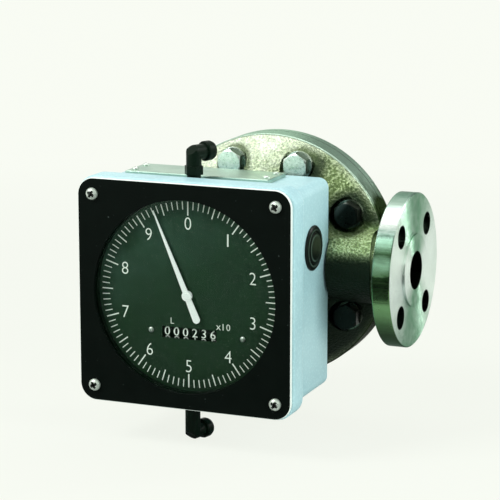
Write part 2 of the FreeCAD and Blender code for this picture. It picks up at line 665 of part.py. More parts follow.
def register_case():
    outer = square_prism(CASE_HALF, CASE_CORNER_R, CASE_FRONT_Y, CASE_REAR_Y)
    outer = outer.makeFillet(1.0, edges_at_y(outer, CASE_REAR_Y))
    inner = square_prism(CASE_INNER_HALF, CASE_CORNER_R - CASE_WALL, CASE_FRONT_Y, CASE_INNER_REAR_Y)
    shell = outer.cut(inner)
    boss_end = FRONT_Y + SCREW_LENGTH + SCREW_BOSS_TAIL
    shell = fuse_all([shell] + corner_rods(SCREW_BOSS_R, CASE_FRONT_Y, boss_end))
    shell = shell.common(square_prism(CASE_HALF, CASE_CORNER_R, CASE_FRONT_Y, CASE_REAR_Y))
    tools = corner_rods(SCREW_R, CASE_FRONT_Y, FRONT_Y + SCREW_LENGTH + SCREW_TIP_GAP)
    tools.append(rod_y(BODY_X, ROTOR_LOW_Z, FOLLOWER_R + 3.0, CASE_INNER_REAR_Y, CASE_REAR_Y))
    for x, z in case_screw_places():
        tools.append(rod_y(x, z, SCREW_R + SCREW_PASS_CLEARANCE, CASE_INNER_REAR_Y, CASE_REAR_Y))
    for x, y, z0 in ((TOP_GLAND_X, GLAND_Y, CASE_TOP_Z - CASE_WALL),
                     (BOTTOM_GLAND_X, GLAND_Y, CASE_BOTTOM_Z)):
        tools.append(rod_z(REGISTER_X + x, y, GLAND_NECK_R, z0, z0 + CASE_WALL))
    wall_x = REGISTER_X + CASE_INNER_HALF
    tools.append(rod_x(PLUG_Y, REGISTER_Z + PLUG_Z, PLUG_R - PLUG_LIP, wall_x, wall_x + CASE_WALL))
    half_l = TOP_PLATE_LENGTH / 2.0 - 2 * TOP_SCREW_INSET
    half_w = TOP_PLATE_WIDTH / 2.0 - TOP_PLATE_LAND
    cx = REGISTER_X + TOP_PLATE_X
    tools.append(block(cx - half_l, cx + half_l, TOP_PLATE_Y - half_w, TOP_PLATE_Y + half_w,
                       CASE_TOP_Z - CASE_WALL, CASE_TOP_Z))
    for x, y in top_screw_places():
        tools.append(rod_z(x, y, SMALL_SCREW_R, CASE_TOP_Z - CASE_WALL, CASE_TOP_Z))
    return cut_all(shell, tools)


def case_gasket():
    outer = square_prism(CASE_HALF, CASE_CORNER_R, COVER_REAR_Y, CASE_FRONT_Y)
    inner = square_prism(CASE_INNER_HALF, CASE_CORNER_R - CASE_WALL, COVER_REAR_Y, CASE_FRONT_Y)
    frame = fuse_all([outer.cut(inner)] + corner_rods(SCREW_BOSS_R, COVER_REAR_Y, CASE_FRONT_Y))
    frame = frame.common(outer)
    return cut_all(frame, corner_rods(SCREW_R + SCREW_PASS_CLEARANCE, COVER_REAR_Y, CASE_FRONT_Y))


def register_cover():
    outer = square_prism(COVER_HALF, COVER_CORNER_R, COVER_FRONT_Y, COVER_REAR_Y)
    outer = outer.makeFillet(COVER_EDGE_R, edges_at_y(outer, COVER_FRONT_Y))
    ledge_y = DIAL_BACK_Y + 0.2
    inner = square_prism(CASE_INNER_HALF, CASE_CORNER_R - CASE_WALL, ledge_y, COVER_REAR_Y)
    inner = cut_all(inner, corner_rods(SCREW_BOSS_R, ledge_y, COVER_REAR_Y))
    bore = rod_y(REGISTER_X, REGISTER_Z, GLASS_R + SEAT_CLEARANCE, COVER_FRONT_Y, ledge_y)
    tools = [inner, bore] + corner_rods(SCREW_R + SCREW_PASS_CLEARANCE, COVER_FRONT_Y, COVER_REAR_Y)
    return cut_all(outer, tools)


def bezel_gasket():
    sheet = square_prism(BEZEL_HALF - 0.7, BEZEL_CORNER_R - 0.7, BEZEL_BACK_Y, COVER_FRONT_Y)
    bore = rod_y(REGISTER_X, REGISTER_Z, GLASS_R + SEAT_CLEARANCE, BEZEL_BACK_Y, COVER_FRONT_Y)
    return cut_all(sheet, [bore] + corner_rods(SCREW_R + SCREW_PASS_CLEARANCE, BEZEL_BACK_Y, COVER_FRONT_Y))


def bezel_plate():
    plate = square_prism(BEZEL_HALF, BEZEL_CORNER_R, FRONT_Y, BEZEL_BACK_Y)
    plate = plate.makeChamfer(BEZEL_EDGE, edges_at_y(plate, FRONT_Y))
    window = rod_y(REGISTER_X, REGISTER_Z, WINDOW_R, FRONT_Y, BEZEL_BACK_Y)
    return cut_all(plate, [window] + corner_rods(SCREW_R + SCREW_PASS_CLEARANCE, FRONT_Y, BEZEL_BACK_Y))


def window_glass():
    return rod_y(REGISTER_X, REGISTER_Z, GLASS_R, BEZEL_BACK_Y, GLASS_BACK_Y)


def window_ring():
    return tube_y(REGISTER_X, REGISTER_Z, GLASS_R, WINDOW_R, GLASS_BACK_Y, DIAL_Y)


def pan_screw(base, axis, head_r, head_h, shank_r, length):
    # base lies under the head, axis points out through the head
    side = V(axis.y, axis.z, axis.x)
    rise = head_h * 0.45
    low = base + side * head_r
    shoulder = low + axis * rise
    crown = base + axis * head_h
    bend = base + side * (head_r * 0.72) + axis * (head_h * 0.87)
    arc = Part.Arc(shoulder, bend, crown).toShape()
    wire = Part.Wire([Part.makeLine(base, low), Part.makeLine(low, shoulder), arc,
                      Part.makeLine(crown, base)])
    head = Part.Face(wire).revolve(base, axis, 360)
    other = axis.cross(side)
    recess = []
    for along in (side, other):
        across = axis.cross(along)
        corner = base + axis * (head_h * 0.35) - along * (head_r * 0.5) - across * (head_r * 0.12)
        bar = [corner, corner + along * head_r, corner + along * head_r + across * (head_r * 0.24),
               corner + across * (head_r * 0.24)]
        recess.append(polygon_face(bar).extrude(axis * head_h))
    shank = cylinder(axis * -1, base, shank_r, length)
    return cut_all(head, recess).fuse(shank).removeSplitter()


def bezel_screws():
    screws = []
    for dx, dz in SCREW_CORNERS:
        base = register_point(dx, FRONT_Y, dz)
        screws.append(pan_screw(base, V(0, -1, 0), SCREW_HEAD_R, SCREW_HEAD_HEIGHT, SCREW_R, SCREW_LENGTH))
    return group(screws)


def case_screws():
    screws = []
    for x, z in case_screw_places():
        base = V(x, CASE_INNER_REAR_Y, z)
        screws.append(pan_screw(base, V(0, -1, 0), CASE_SCREW_HEAD_R, CASE_SCREW_HEAD_HEIGHT, SCREW_R,
                                CASE_BACK_WALL + CASE_SCREW_DEPTH - CASE_SCREW_TIP_GAP))
    return group(screws)


# Dial and movement
def dial_plate():
    disc = rod_y(REGISTER_X, REGISTER_Z, GLASS_R - 0.2, DIAL_Y, DIAL_BACK_Y)
    cx = REGISTER_X + DRUM_CENTRE_X
    slot = block(cx - COUNTER_SLOT_HALF_LENGTH, cx + COUNTER_SLOT_HALF_LENGTH, DIAL_Y, DIAL_BACK_Y,
                 COUNTER_Z - COUNTER_SLOT_HALF_HEIGHT, COUNTER_Z + COUNTER_SLOT_HALF_HEIGHT)
    tools = [slot, rod_y(REGISTER_X, REGISTER_Z, ARBOR_R + 0.8, DIAL_Y, DIAL_BACK_Y)]
    for dx, dz in DIAL_SCREWS:
        tools.append(rod_y(REGISTER_X + dx, REGISTER_Z + dz, SMALL_SCREW_R, DIAL_Y, DIAL_BACK_Y))
    return cut_all(disc, tools)


def dial_screws():
    screws = []
    for dx, dz in DIAL_SCREWS:
        base = register_point(dx, DIAL_Y, dz)
        screws.append(pan_screw(base, V(0, -1, 0), DIAL_SCREW_HEAD_R, DIAL_SCREW_HEAD_HEIGHT, SMALL_SCREW_R,
                                DIAL_THICK + PLATE_THICK + BRACKET_THICK))
    return group(screws)


def movement_plate(y0, thick):
    plate = square_prism(PLATE_HALF, 6.0, y0, y0 + thick)
    return plate.cut(rod_y(REGISTER_X, REGISTER_Z, ARBOR_R + RUNNING_CLEARANCE, y0, y0 + thick))


def movement_front_plate():
    plate = movement_plate(DIAL_BACK_Y, PLATE_THICK)
    cx = REGISTER_X + DRUM_CENTRE_X
    half = DRUM_COUNT * DRUM_PITCH / 2.0 + 1.0
    slot = block(cx - half, cx + half, DIAL_BACK_Y, PLATE_BACK_Y,
                 COUNTER_Z - DRUM_R - 1.0, COUNTER_Z + DRUM_R + 1.0)
    holes = [rod_y(REGISTER_X + dx, REGISTER_Z + dz, SMALL_SCREW_R, DIAL_BACK_Y, PLATE_BACK_Y)
             for dx, dz in DIAL_SCREWS]
    return cut_all(plate, [slot] + holes)


def movement_back_plate():
    plate = movement_plate(BACK_PLATE_Y, BACK_PLATE_THICK)
    tools = [
        rod_y(BODY_X, PINION_Z, 4.0, BACK_PLATE_Y, BACK_PLATE_BACK_Y),
        rod_y(LAY_X, COUNTER_Z, ARBOR_R + RUNNING_CLEARANCE, BACK_PLATE_Y, BACK_PLATE_BACK_Y),
    ]
    return cut_all(plate, tools)


def movement_posts(radius, y0, y1):
    return group([rod_y(REGISTER_X + dx, REGISTER_Z + dz, radius, y0, y1) for dx, dz in PILLAR_CORNERS])


def reduction_gearbox():
    case = rod_y(BODY_X, PINION_Z, GEARBOX_R, BACK_PLATE_BACK_Y, GEARBOX_BACK_Y)
    case = case.makeChamfer(1.0, edges_at_y(case, GEARBOX_BACK_Y))
    nose = rod_y(BODY_X, PINION_Z, 3.8, BACK_PLATE_Y, BACK_PLATE_BACK_Y)
    tail = rod_y(BODY_X, PINION_Z, 5.0, GEARBOX_BACK_Y, GEARBOX_BACK_Y + 1.5)
    bore = ARBOR_R + 0.5 + RUNNING_CLEARANCE
    tools = [
        rod_y(BODY_X, PINION_Z, bore, BACK_PLATE_Y, BACK_PLATE_Y + 8.0),
        rod_y(BODY_X, PINION_Z, bore, GEARBOX_BACK_Y - 6.0, GEARBOX_BACK_Y + 1.5),
    ]
    return cut_all(fuse_all([case, nose, tail]), tools)


def follower_magnet():
    y1 = SEAT_Y - FOLLOWER_GAP
    return tube_y(BODY_X, PINION_Z, FOLLOWER_R, ARBOR_R + 0.5, y1 - FOLLOWER_THICK, y1)


def follower_arbor():
    y1 = SEAT_Y - FOLLOWER_GAP
    return rod_y(BODY_X, PINION_Z, ARBOR_R + 0.5, GEARBOX_BACK_Y - 5.0, y1)


def pinion_start():
    return math.atan2(REGISTER_Z - PINION_Z, REGISTER_X - BODY_X)


def output_pinion():
    shaft_r = ARBOR_R + 0.5
    gear = spur_gear(BODY_X, PINION_Z, PINION_TEETH, GEAR_MODULE, pinion_start(), WHEEL_Y, WHEEL_WIDTH, 1.0)
    shaft = rod_y(BODY_X, PINION_Z, shaft_r, WHEEL_Y, BACK_PLATE_Y + 7.0)
    return fuse_all([gear, shaft])


def driven_wheel(x, z):
    line = math.atan2(z - PINION_Z, x - BODY_X)
    start = mesh_angle(WHEEL_TEETH, PINION_TEETH, pinion_start(), line)
    wheel = spur_gear(x, z, WHEEL_TEETH, GEAR_MODULE, start, WHEEL_Y, WHEEL_WIDTH, ARBOR_R)
    recess = tube_y(x, z, 12.5, 4.5, WHEEL_Y, WHEEL_Y + 0.8)
    return wheel.cut(recess)


def pointer_arbor():
    return rod_y(REGISTER_X, REGISTER_Z, ARBOR_R, DIAL_Y - 3.4, BACK_PLATE_BACK_Y - 0.4)


def pointer():
    # blade drawn pointing up, then turned clockwise to the reading
    y0 = DIAL_Y - 2.8
    tip = POINTER_LENGTH
    half_root = 2.0
    tail_half = 2.7
    tail_z = -(POINTER_TAIL - tail_half)
    cx = REGISTER_X
    cz = REGISTER_Z
    right = [V(cx + 0.35, y0, cz + tip), V(cx + half_root, y0, cz + 3.0), V(cx + tail_half, y0, cz + tail_z)]
    left = [V(2 * cx - p.x, p.y, p.z) for p in reversed(right)]
    end = Part.Arc(right[-1], V(cx, y0, cz - POINTER_TAIL), left[0]).toShape()
    lines = [Part.makeLine(a, b) for a, b in zip(right, right[1:])] + [end]
    lines += [Part.makeLine(a, b) for a, b in zip(left, left[1:])] + [Part.makeLine(left[-1], right[0])]
    blade = Part.Face(Part.Wire(lines)).extrude(V(0, POINTER_THICK, 0))
    hub = rod_y(cx, cz, POINTER_HUB_R, y0 - 0.6, y0 + 1.8)
    whole = fuse_all([blade, hub]).cut(rod_y(cx, cz, ARBOR_R, y0 - 0.6, y0 + 1.8))
    whole.rotate(V(cx, 0, cz), Y_AXIS, POINTER_READING * 36.0)
    return whole


def lay_apex():
    return V(LAY_X, DRUM_AXIS_Y, COUNTER_Z)


def tenth_gear(x, start, index, y0, bore):
    return spur_gear(x, COUNTER_Z, TENTH_TEETH[index], TENTH_MODULE, start, y0, TENTH_WIDTH, bore)


def lay_arbor():
    # carries the counter wheel and the first pinion of the ten to one pair
    pinion = tenth_gear(LAY_X, math.pi, 0, TENTH_BACK_Y, ARBOR_R * 0.5)
    rod = rod_y(LAY_X, COUNTER_Z, ARBOR_R, TENTH_BACK_Y, BACK_PLATE_BACK_Y - 0.4)
    return fuse_all([pinion, rod])


def tenth_idler():
    # wheel and pinion in one, turning on the stud of the counter frame
    bore = IDLER_STUD_R + RUNNING_CLEARANCE
    wheel = tenth_gear(IDLER_X, mesh_angle(TENTH_TEETH[1], TENTH_TEETH[0], math.pi, math.pi), 1,
                       TENTH_BACK_Y, bore)
    pinion = tenth_gear(IDLER_X, 0.0, 2, TENTH_FRONT_Y, bore)
    collar = tube_y(IDLER_X, COUNTER_Z, 2.4, bore, TENTH_FRONT_Y, TENTH_BACK_Y + TENTH_WIDTH)
    return fuse_all([wheel, pinion, collar])


def lay_spindle():
    # carries the last wheel of the ten to one pair and the mitre gear that turns the drums
    gear = bevel_gear(lay_apex(), Y_AXIS, V(-1, 0, 0), 0.0, ARBOR_R)
    rod = rod_y(LAY_X, COUNTER_Z, ARBOR_R, DRUM_AXIS_Y + BEVEL_R - BEVEL_FACE, TENTH_FRONT_Y + TENTH_WIDTH)
    wheel = tenth_gear(LAY_X, mesh_angle(TENTH_TEETH[3], TENTH_TEETH[2], 0.0, 0.0), 3,
                       TENTH_FRONT_Y, ARBOR_R * 0.5)
    return fuse_all([gear, rod, wheel])


def drum_x(index):
    # index 1 is the fastest drum, on the right
    return REGISTER_X + DRUM_CENTRE_X + ((DRUM_COUNT + 1) / 2.0 - index) * DRUM_PITCH


def number_drum(index):
    x = drum_x(index)
    x0 = x - DRUM_WIDTH / 2.0
    x1 = x + DRUM_WIDTH / 2.0
    y = DRUM_AXIS_Y
    z = COUNTER_Z
    body = rod_x(y, z, DRUM_R, x0, x1)
    recess = 2.0
    hub_r = 3.0
    for a, b in ((x0, x0 + recess), (x1 - recess, x1)):
        body = body.cut(rod_x(y, z, DRUM_R - DRUM_WALL, a, b).cut(rod_x(y, z, hub_r, a, b)))
    if index == 1:
        sleeve = rod_x(y, z, hub_r, x1 - recess, lay_apex().x - BEVEL_R)
        gear = bevel_gear(lay_apex(), V(-1, 0, 0), Y_AXIS, math.pi / BEVEL_TEETH, ARBOR_R + RUNNING_CLEARANCE)
        body = fuse_all([body, sleeve, gear])
    return body.cut(rod_x(y, z, ARBOR_R + RUNNING_CLEARANCE, x0 - 1, lay_apex().x))


def counter_shaft():
    x0 = drum_x(DRUM_COUNT) - DRUM_PITCH / 2.0 - 3.0
    return rod_x(DRUM_AXIS_Y, COUNTER_Z, ARBOR_R, x0, lay_apex().x - BEVEL_R + 1.0)


def counter_frame():
    t = BRACKET_THICK
    left = drum_x(DRUM_COUNT) - DRUM_PITCH / 2.0 - 0.6
    right = drum_x(1) + DRUM_PITCH / 2.0 + 0.6
    half = 6.0
    z0 = COUNTER_Z - half
    z1 = COUNTER_Z + half
    pieces = [
        block(left - t, left, PLATE_BACK_Y, BRACKET_Y, z0, z1),
        block(right, right + t, PLATE_BACK_Y, BRACKET_Y, z0, z1),
        block(left - t, LAY_X + half, BRACKET_Y - t, BRACKET_Y, z0, z1),
        block(REGISTER_X + DIAL_SCREWS[0][0] - 3.5, left, PLATE_BACK_Y, PLATE_BACK_Y + t, z0, z1),
        block(right, REGISTER_X + DIAL_SCREWS[1][0] + 3.5, PLATE_BACK_Y, PLATE_BACK_Y + t, z0, z1),
        rod_y(IDLER_X, COUNTER_Z, IDLER_STUD_R, BRACKET_Y - t, TENTH_BACK_Y + TENTH_WIDTH),
    ]
    tools = [
        rod_x(DRUM_AXIS_Y, COUNTER_Z, ARBOR_R, left - t, left),
        rod_x(DRUM_AXIS_Y, COUNTER_Z, 3.0 + RUNNING_CLEARANCE, right, right + t),
        rod_y(LAY_X, COUNTER_Z, ARBOR_R + RUNNING_CLEARANCE, BRACKET_Y - t, BRACKET_Y),
    ]
    for dx, dz in DIAL_SCREWS:
        tools.append(rod_y(REGISTER_X + dx, REGISTER_Z + dz, SMALL_SCREW_R, PLATE_BACK_Y, PLATE_BACK_Y + t))
    return cut_all(fuse_all(pieces), tools)


# Fittings
def top_screw_places():
    reach_x = TOP_PLATE_LENGTH / 2.0 - TOP_SCREW_INSET
    reach_y = TOP_PLATE_WIDTH / 2.0 - TOP_SCREW_INSET_Y
    cx = REGISTER_X + TOP_PLATE_X
    return [(cx + sx * reach_x, TOP_PLATE_Y + sy * reach_y) for sx in (-1, 1) for sy in (-1, 1)]


def top_plate():
    cx = REGISTER_X + TOP_PLATE_X
    z1 = CASE_TOP_Z + TOP_PLATE_THICK
    plate = block(cx - TOP_PLATE_LENGTH / 2, cx + TOP_PLATE_LENGTH / 2, TOP_PLATE_Y - TOP_PLATE_WIDTH / 2,
                  TOP_PLATE_Y + TOP_PLATE_WIDTH / 2, CASE_TOP_Z, z1)
    plate = plate.makeChamfer(0.5, [e for e in plate.Edges if abs(e.BoundBox.ZMin - z1) < 1e-6])
    return cut_all(plate, [rod_z(x, y, SMALL_SCREW_R, CASE_TOP_Z, z1) for x, y in top_screw_places()])


def top_plate_screws():
    z1 = CASE_TOP_Z + TOP_PLATE_THICK
    length = TOP_PLATE_THICK + CASE_WALL - 0.4
    return group([pan_screw(V(x, y, z1), Z_AXIS, TOP_SCREW_HEAD_R, TOP_SCREW_HEAD_HEIGHT,
                            SMALL_SCREW_R, length)
                  for x, y in top_screw_places()])


def gland_parts(dx, wall_z, up, rise, turn):
    # elbow body, cap nut and blanking plug of one cable gland, modelled standing and mirrored if it hangs
    x = REGISTER_X + dx
    y = GLAND_Y
    arm_z = wall_z + rise
    foot = rod_z(x, y, GLAND_NECK_R, wall_z - CASE_WALL - 3.0, wall_z + GLAND_NECK_HEIGHT)
    hex_z = wall_z + GLAND_NECK_HEIGHT
    base = polygon_face(hex_points(x, y, hex_z, GLAND_HEX_FLATS, "z")).extrude(V(0, 0, GLAND_HEX_HEIGHT))
    riser = rod_z(x, y, GLAND_TUBE_R, hex_z + GLAND_HEX_HEIGHT, arm_z + GLAND_TUBE_R)
    arm = rod_y(x, arm_z, GLAND_TUBE_R, y - GLAND_TUBE_R, y + GLAND_ARM)
    # the two tubes meet in a mitre, with the outer corner cut back
    corner = riser.common(block(x - 20, x + 20, y - 20, y + 20, arm_z, arm_z + 20))
    corner = corner.common(arm)
    low = riser.common(block(x - 20, x + 20, y - 20, y + 20, wall_z, arm_z))
    back = arm.common(block(x - 20, x + 20, y, y + 40, arm_z - 20, arm_z + 20))
    body = fuse_all([foot, base, low, corner, back])
    bevel = block(x - 20, x + 20, -20, 0, -20, 20)
    bevel.rotate(V(0, 0, 0), X_AXIS, -45)
    bevel.translate(V(0, y - GLAND_TUBE_R * 0.42, arm_z + GLAND_TUBE_R * 0.42))
    body = body.cut(bevel)
    spigot = rod_y(x, arm_z, GLAND_NECK_R, y + GLAND_ARM, y + GLAND_ARM + GLAND_NUT_LENGTH * 0.6)
    body = fuse_all([body, spigot])
    body = body.cut(rod_y(x, arm_z, GLAND_BORE_R, y, y + 40))
    body = body.cut(rod_z(x, y, GLAND_BORE_R, wall_z - 10, arm_z))
    nut_y = y + GLAND_ARM
    n = GLAND_NUT_R
    outline = [
        (GLAND_NECK_R, nut_y), (n * 0.93, nut_y), (n, nut_y + 0.8), (n, nut_y + GLAND_NUT_LENGTH * 0.62),
        (n * 0.88, nut_y + GLAND_NUT_LENGTH * 0.86), (n * 0.66, nut_y + GLAND_NUT_LENGTH),
        (GLAND_BORE_R, nut_y + GLAND_NUT_LENGTH), (GLAND_BORE_R, nut_y + GLAND_NUT_LENGTH * 0.6),
        (GLAND_NECK_R, nut_y + GLAND_NUT_LENGTH * 0.6),
    ]
    nut = turned_y(x, arm_z, outline)
    stem = rod_y(x, arm_z, GLAND_BORE_R, nut_y, nut_y + GLAND_NUT_LENGTH)
    button = rod_y(x, arm_z, GLAND_BORE_R + 1.4, nut_y + GLAND_NUT_LENGTH, nut_y + GLAND_NUT_LENGTH + 1.0)
    button = button.makeFillet(0.5, edges_at_y(button, nut_y + GLAND_NUT_LENGTH + 1.0))
    plug = fuse_all([stem, button])
    parts = []
    for shape in (body, nut, plug):
        shape.rotate(V(x, y, 0), Z_AXIS, -turn)
        if not up:
            shape = shape.mirror(V(0, 0, wall_z), Z_AXIS)
            shape.translate(V(0, 0, CASE_BOTTOM_Z - wall_z))
        parts.append(shape)
    return parts


def side_plug():
    x = REGISTER_X + CASE_HALF
    y = PLUG_Y
    z = REGISTER_Z + PLUG_Z
    d = PLUG_DOME
    r = PLUG_R
    outline = [
        (-CASE_WALL - PLUG_TAIL, 0), (-CASE_WALL - PLUG_TAIL, r - PLUG_LIP), (0, r - PLUG_LIP), (0, r),
        (d * 0.35, r), (d * 0.7, r * 0.93),
        (d * 0.8, r * 0.80), (d * 0.35, r * 0.77), (d * 0.35, r * 0.70),
        (d * 0.9, r * 0.66), (d, r * 0.3), (d, 0),
    ]
    face = polygon_face([V(x + a, y, z + b) for a, b in outline])
    return face.revolve(V(x, y, z), X_AXIS, 360)


def all_parts():
    top_body, top_nut, top_plug = gland_parts(TOP_GLAND_X, CASE_TOP_Z, True, TOP_GLAND_RISE, TOP_GLAND_TURN)
    low_body, low_nut, low_plug = gland_parts(BOTTOM_GLAND_X, CASE_TOP_Z, False, BOTTOM_GLAND_RISE,
                                              BOTTOM_GLAND_TURN)
    y_end = REAR_PLATE_Y + REAR_PLATE_THICK
    lower_start = math.pi / 2
    upper_start = mesh_angle(TIMING_TEETH, TIMING_TEETH, lower_start, math.pi / 2)
    parts = {
        "meter_body": meter_body(),
        "rear_cover": rear_cover(),
        "cover_o_ring": cover_o_ring(),
        "cover_bolts": cover_bolts(),
        "spring_washers": spring_washers(),
        "bearing_plate_front": bearing_plate_front(),
        "bearing_plate_rear": bearing_plate_rear(),
        "front_bushes": bushes(FRONT_PLATE_Y, CHAMBER_FRONT_Y),
        "rear_bushes": bushes(REAR_PLATE_Y, y_end),
        "plate_screws": plate_screws(),
        "rotor_lower": rotor(ROTOR_LOW_Z, 0.0),
        "rotor_upper": rotor(ROTOR_HIGH_Z, math.pi / 2),
        "rotor_shaft_lower": rotor_shaft(ROTOR_LOW_Z, FRONT_PLATE_Y - MAGNET_GAP - DRIVE_MAGNET_THICK),
        "rotor_shaft_upper": rotor_shaft(ROTOR_HIGH_Z, FRONT_PLATE_Y + 0.3),
        "timing_gear_lower": timing_gear(ROTOR_LOW_Z, lower_start),
        "timing_gear_upper": timing_gear(ROTOR_HIGH_Z, upper_start),
        "drive_magnet": drive_magnet(),
        "register_case": register_case(),
        "case_gasket": case_gasket(),
        "register_cover": register_cover(),
        "bezel_gasket": bezel_gasket(),
        "bezel_plate": bezel_plate(),
        "window_glass": window_glass(),
        "window_ring": window_ring(),
        "bezel_screws": bezel_screws(),
        "case_screws": case_screws(),
        "dial_plate": dial_plate(),
        "dial_screws": dial_screws(),
        "movement_front_plate": movement_front_plate(),
        "movement_back_plate": movement_back_plate(),
        "movement_pillars": movement_posts(PILLAR_R, PLATE_BACK_Y, BACK_PLATE_Y),
        "movement_standoffs": movement_posts(PILLAR_R + 0.5, BACK_PLATE_BACK_Y, CASE_INNER_REAR_Y),
        "reduction_gearbox": reduction_gearbox(),
        "follower_magnet": follower_magnet(),
        "follower_arbor": follower_arbor(),
        "output_pinion": output_pinion(),
        "pointer_wheel": driven_wheel(REGISTER_X, REGISTER_Z),
        "pointer_arbor": pointer_arbor(),
        "pointer": pointer(),
        "counter_wheel": driven_wheel(LAY_X, COUNTER_Z),
        "lay_arbor": lay_arbor(),
        "tenth_idler": tenth_idler(),
        "lay_spindle": lay_spindle(),
        "counter_shaft": counter_shaft(),
        "counter_frame": counter_frame(),
        "top_plate": top_plate(),
        "top_plate_screws": top_plate_screws(),
        "gland_top": top_body,
        "gland_nut_top": top_nut,
        "gland_bottom": low_body,
        "gland_nut_bottom": low_nut,
        "gland_plugs": group([top_plug, low_plug]),
        "side_plug": side_plug(),
    }
    for index in range(1, DRUM_COUNT + 1):
        parts["number_drum_%d" % index] = number_drum(index)
    return parts


def main():
    os.makedirs("parts", exist_ok=True)
    for name, shape in all_parts().items():
        shape.exportStep("parts/%s.step" % name)
        print(name, len(shape.Solids), "solid", round(shape.Volume / 1000.0, 2), "cm3", shape.isValid())


main()
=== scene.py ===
import json
import math

import bmesh
import bpy
from mathutils import Matrix, Vector


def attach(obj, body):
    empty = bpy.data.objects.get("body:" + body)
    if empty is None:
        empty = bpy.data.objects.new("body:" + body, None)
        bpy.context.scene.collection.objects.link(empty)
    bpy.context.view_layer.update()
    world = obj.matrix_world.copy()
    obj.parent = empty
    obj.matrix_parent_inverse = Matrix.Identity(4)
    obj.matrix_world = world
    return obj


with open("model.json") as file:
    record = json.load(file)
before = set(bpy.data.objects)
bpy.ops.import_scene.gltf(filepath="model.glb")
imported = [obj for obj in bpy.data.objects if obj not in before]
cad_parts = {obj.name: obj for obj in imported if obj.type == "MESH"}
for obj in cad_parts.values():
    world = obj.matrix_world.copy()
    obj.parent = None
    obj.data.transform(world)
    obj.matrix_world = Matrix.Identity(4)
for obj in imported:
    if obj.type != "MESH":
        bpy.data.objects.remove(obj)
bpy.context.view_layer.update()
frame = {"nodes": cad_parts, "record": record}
nodes = frame["nodes"]
print("frame loaded")

# Places of the part, in metres, as the frame has them
dial = {"x": 0.0907899, "y": -0.089, "z": -0.0106, "numeralRadius": 0.0497, "tickOuter": 0.0647,
        "screwPlace": 0.0672, "cornerPlace": 0.0662}
drums = {"radius": 0.010, "y": -0.0773, "z": -0.0376, "pitch": 0.0068, "count": 6, "centreX": 0.0004,
         "shown": (6, 3, 2, 0, 0, 0), "digitHeight": 0.0060, "bold": 0.004, "lift": 0.05, "widen": 1.05,
         "slices": 10, "oneWidth": 0.0010, "printGap": 0.00012}
pipe = {"bodyX": 0.112, "partingY": 0.0245, "holePlace": 0.028072, "holeRadius": 0.0081, "boreRadius": 0.0135}


# Shader helpers
def newMaterial(name):
    mat = bpy.data.materials.new(name)
    mat.use_nodes = True
    tree = mat.node_tree
    tree.nodes.clear()
    return mat, tree


def addNode(tree, kind, inputs=None, **settings):
    node = tree.nodes.new(kind)
    for key, value in settings.items():
        setattr(node, key, value)
    for key, value in (inputs or {}).items():
        if isinstance(value, bpy.types.NodeSocket):
            tree.links.new(value, node.inputs[key])
        else:
            node.inputs[key].default_value = value
    return node


def objectPoint(tree):
    return addNode(tree, "ShaderNodeTexCoord").outputs["Object"]


def splitAxes(tree, vector):
    return addNode(tree, "ShaderNodeSeparateXYZ", {"Vector": vector}).outputs


def noise(tree, point, scale, detail=4.0, roughness=0.55):
    node = addNode(tree, "ShaderNodeTexNoise", {"Vector": point, "Scale": scale, "Detail": detail,
                                                "Roughness": roughness})
    return node.outputs["Fac"]


def remap(tree, value, low, high, toLow=0.0, toHigh=1.0):
    node = addNode(tree, "ShaderNodeMapRange", {"Value": value, "From Min": low, "From Max": high,
                                                "To Min": toLow, "To Max": toHigh})
    return node.outputs["Result"]


def maths(tree, operation, a, b=0.0):
    return addNode(tree, "ShaderNodeMath", {0: a, 1: b}, operation=operation).outputs[0]


def plus(tree, a, b):
    return maths(tree, "ADD", a, b)


def minus(tree, a, b):
    return maths(tree, "SUBTRACT", a, b)


def times(tree, a, b):
    return maths(tree, "MULTIPLY", a, b)


def lesser(tree, a, b):
    return maths(tree, "MINIMUM", a, b)


def greater(tree, a, b):
    return maths(tree, "MAXIMUM", a, b)


def gapFrom(tree, value, centre):
    # distance of a value from the centre, without its sign
    return maths(tree, "ABSOLUTE", minus(tree, value, centre))


def planeDistance(tree, a, b, centreA, centreB):
    offA = minus(tree, a, centreA)
    offB = minus(tree, b, centreB)
    return maths(tree, "SQRT", plus(tree, times(tree, offA, offA), times(tree, offB, offB)))


def insideMask(tree, value, limit, soft=0.0002):
    # one where the value is under the limit
    return remap(tree, value, limit, limit + soft, 1.0, 0.0)


def mixColour(tree, factor, a, b):
    node = addNode(tree, "ShaderNodeMix", {"Factor": factor}, data_type="RGBA")
    for index, value in ((6, a), (7, b)):
        if isinstance(value, bpy.types.NodeSocket):
            tree.links.new(value, node.inputs[index])
        else:
            node.inputs[index].default_value = (*value, 1.0)
    return node.outputs[2]


def ramp(tree, value, stops):
    # colours blended between the given places
    low, high = stops[0][0], stops[-1][0]
    node = addNode(tree, "ShaderNodeValToRGB", {"Fac": remap(tree, value, low, high)})
    for index, (place, colour) in enumerate(stops):
        share = (place - low) / (high - low)
        entry = node.color_ramp.elements[index] if index < 2 else node.color_ramp.elements.new(share)
        entry.position = share
        entry.color = (*colour, 1.0)
    return node.outputs["Color"]


def scaledPoint(tree, point, scale):
    return addNode(tree, "ShaderNodeMapping", {"Vector": point, "Scale": scale}).outputs["Vector"]


def roundedNormal(tree, radius):
    return addNode(tree, "ShaderNodeBevel", {"Radius": radius}, samples=4).outputs["Normal"]


def bump(tree, height, strength, distance, normal=None):
    inputs = {"Height": height, "Strength": strength, "Distance": distance}
    if normal is not None:
        inputs["Normal"] = normal
    return addNode(tree, "ShaderNodeBump", inputs).outputs["Normal"]


def surface(tree, **inputs):
    shader = addNode(tree, "ShaderNodeBsdfPrincipled", inputs)
    out = addNode(tree, "ShaderNodeOutputMaterial")
    tree.links.new(shader.outputs[0], out.inputs["Surface"])


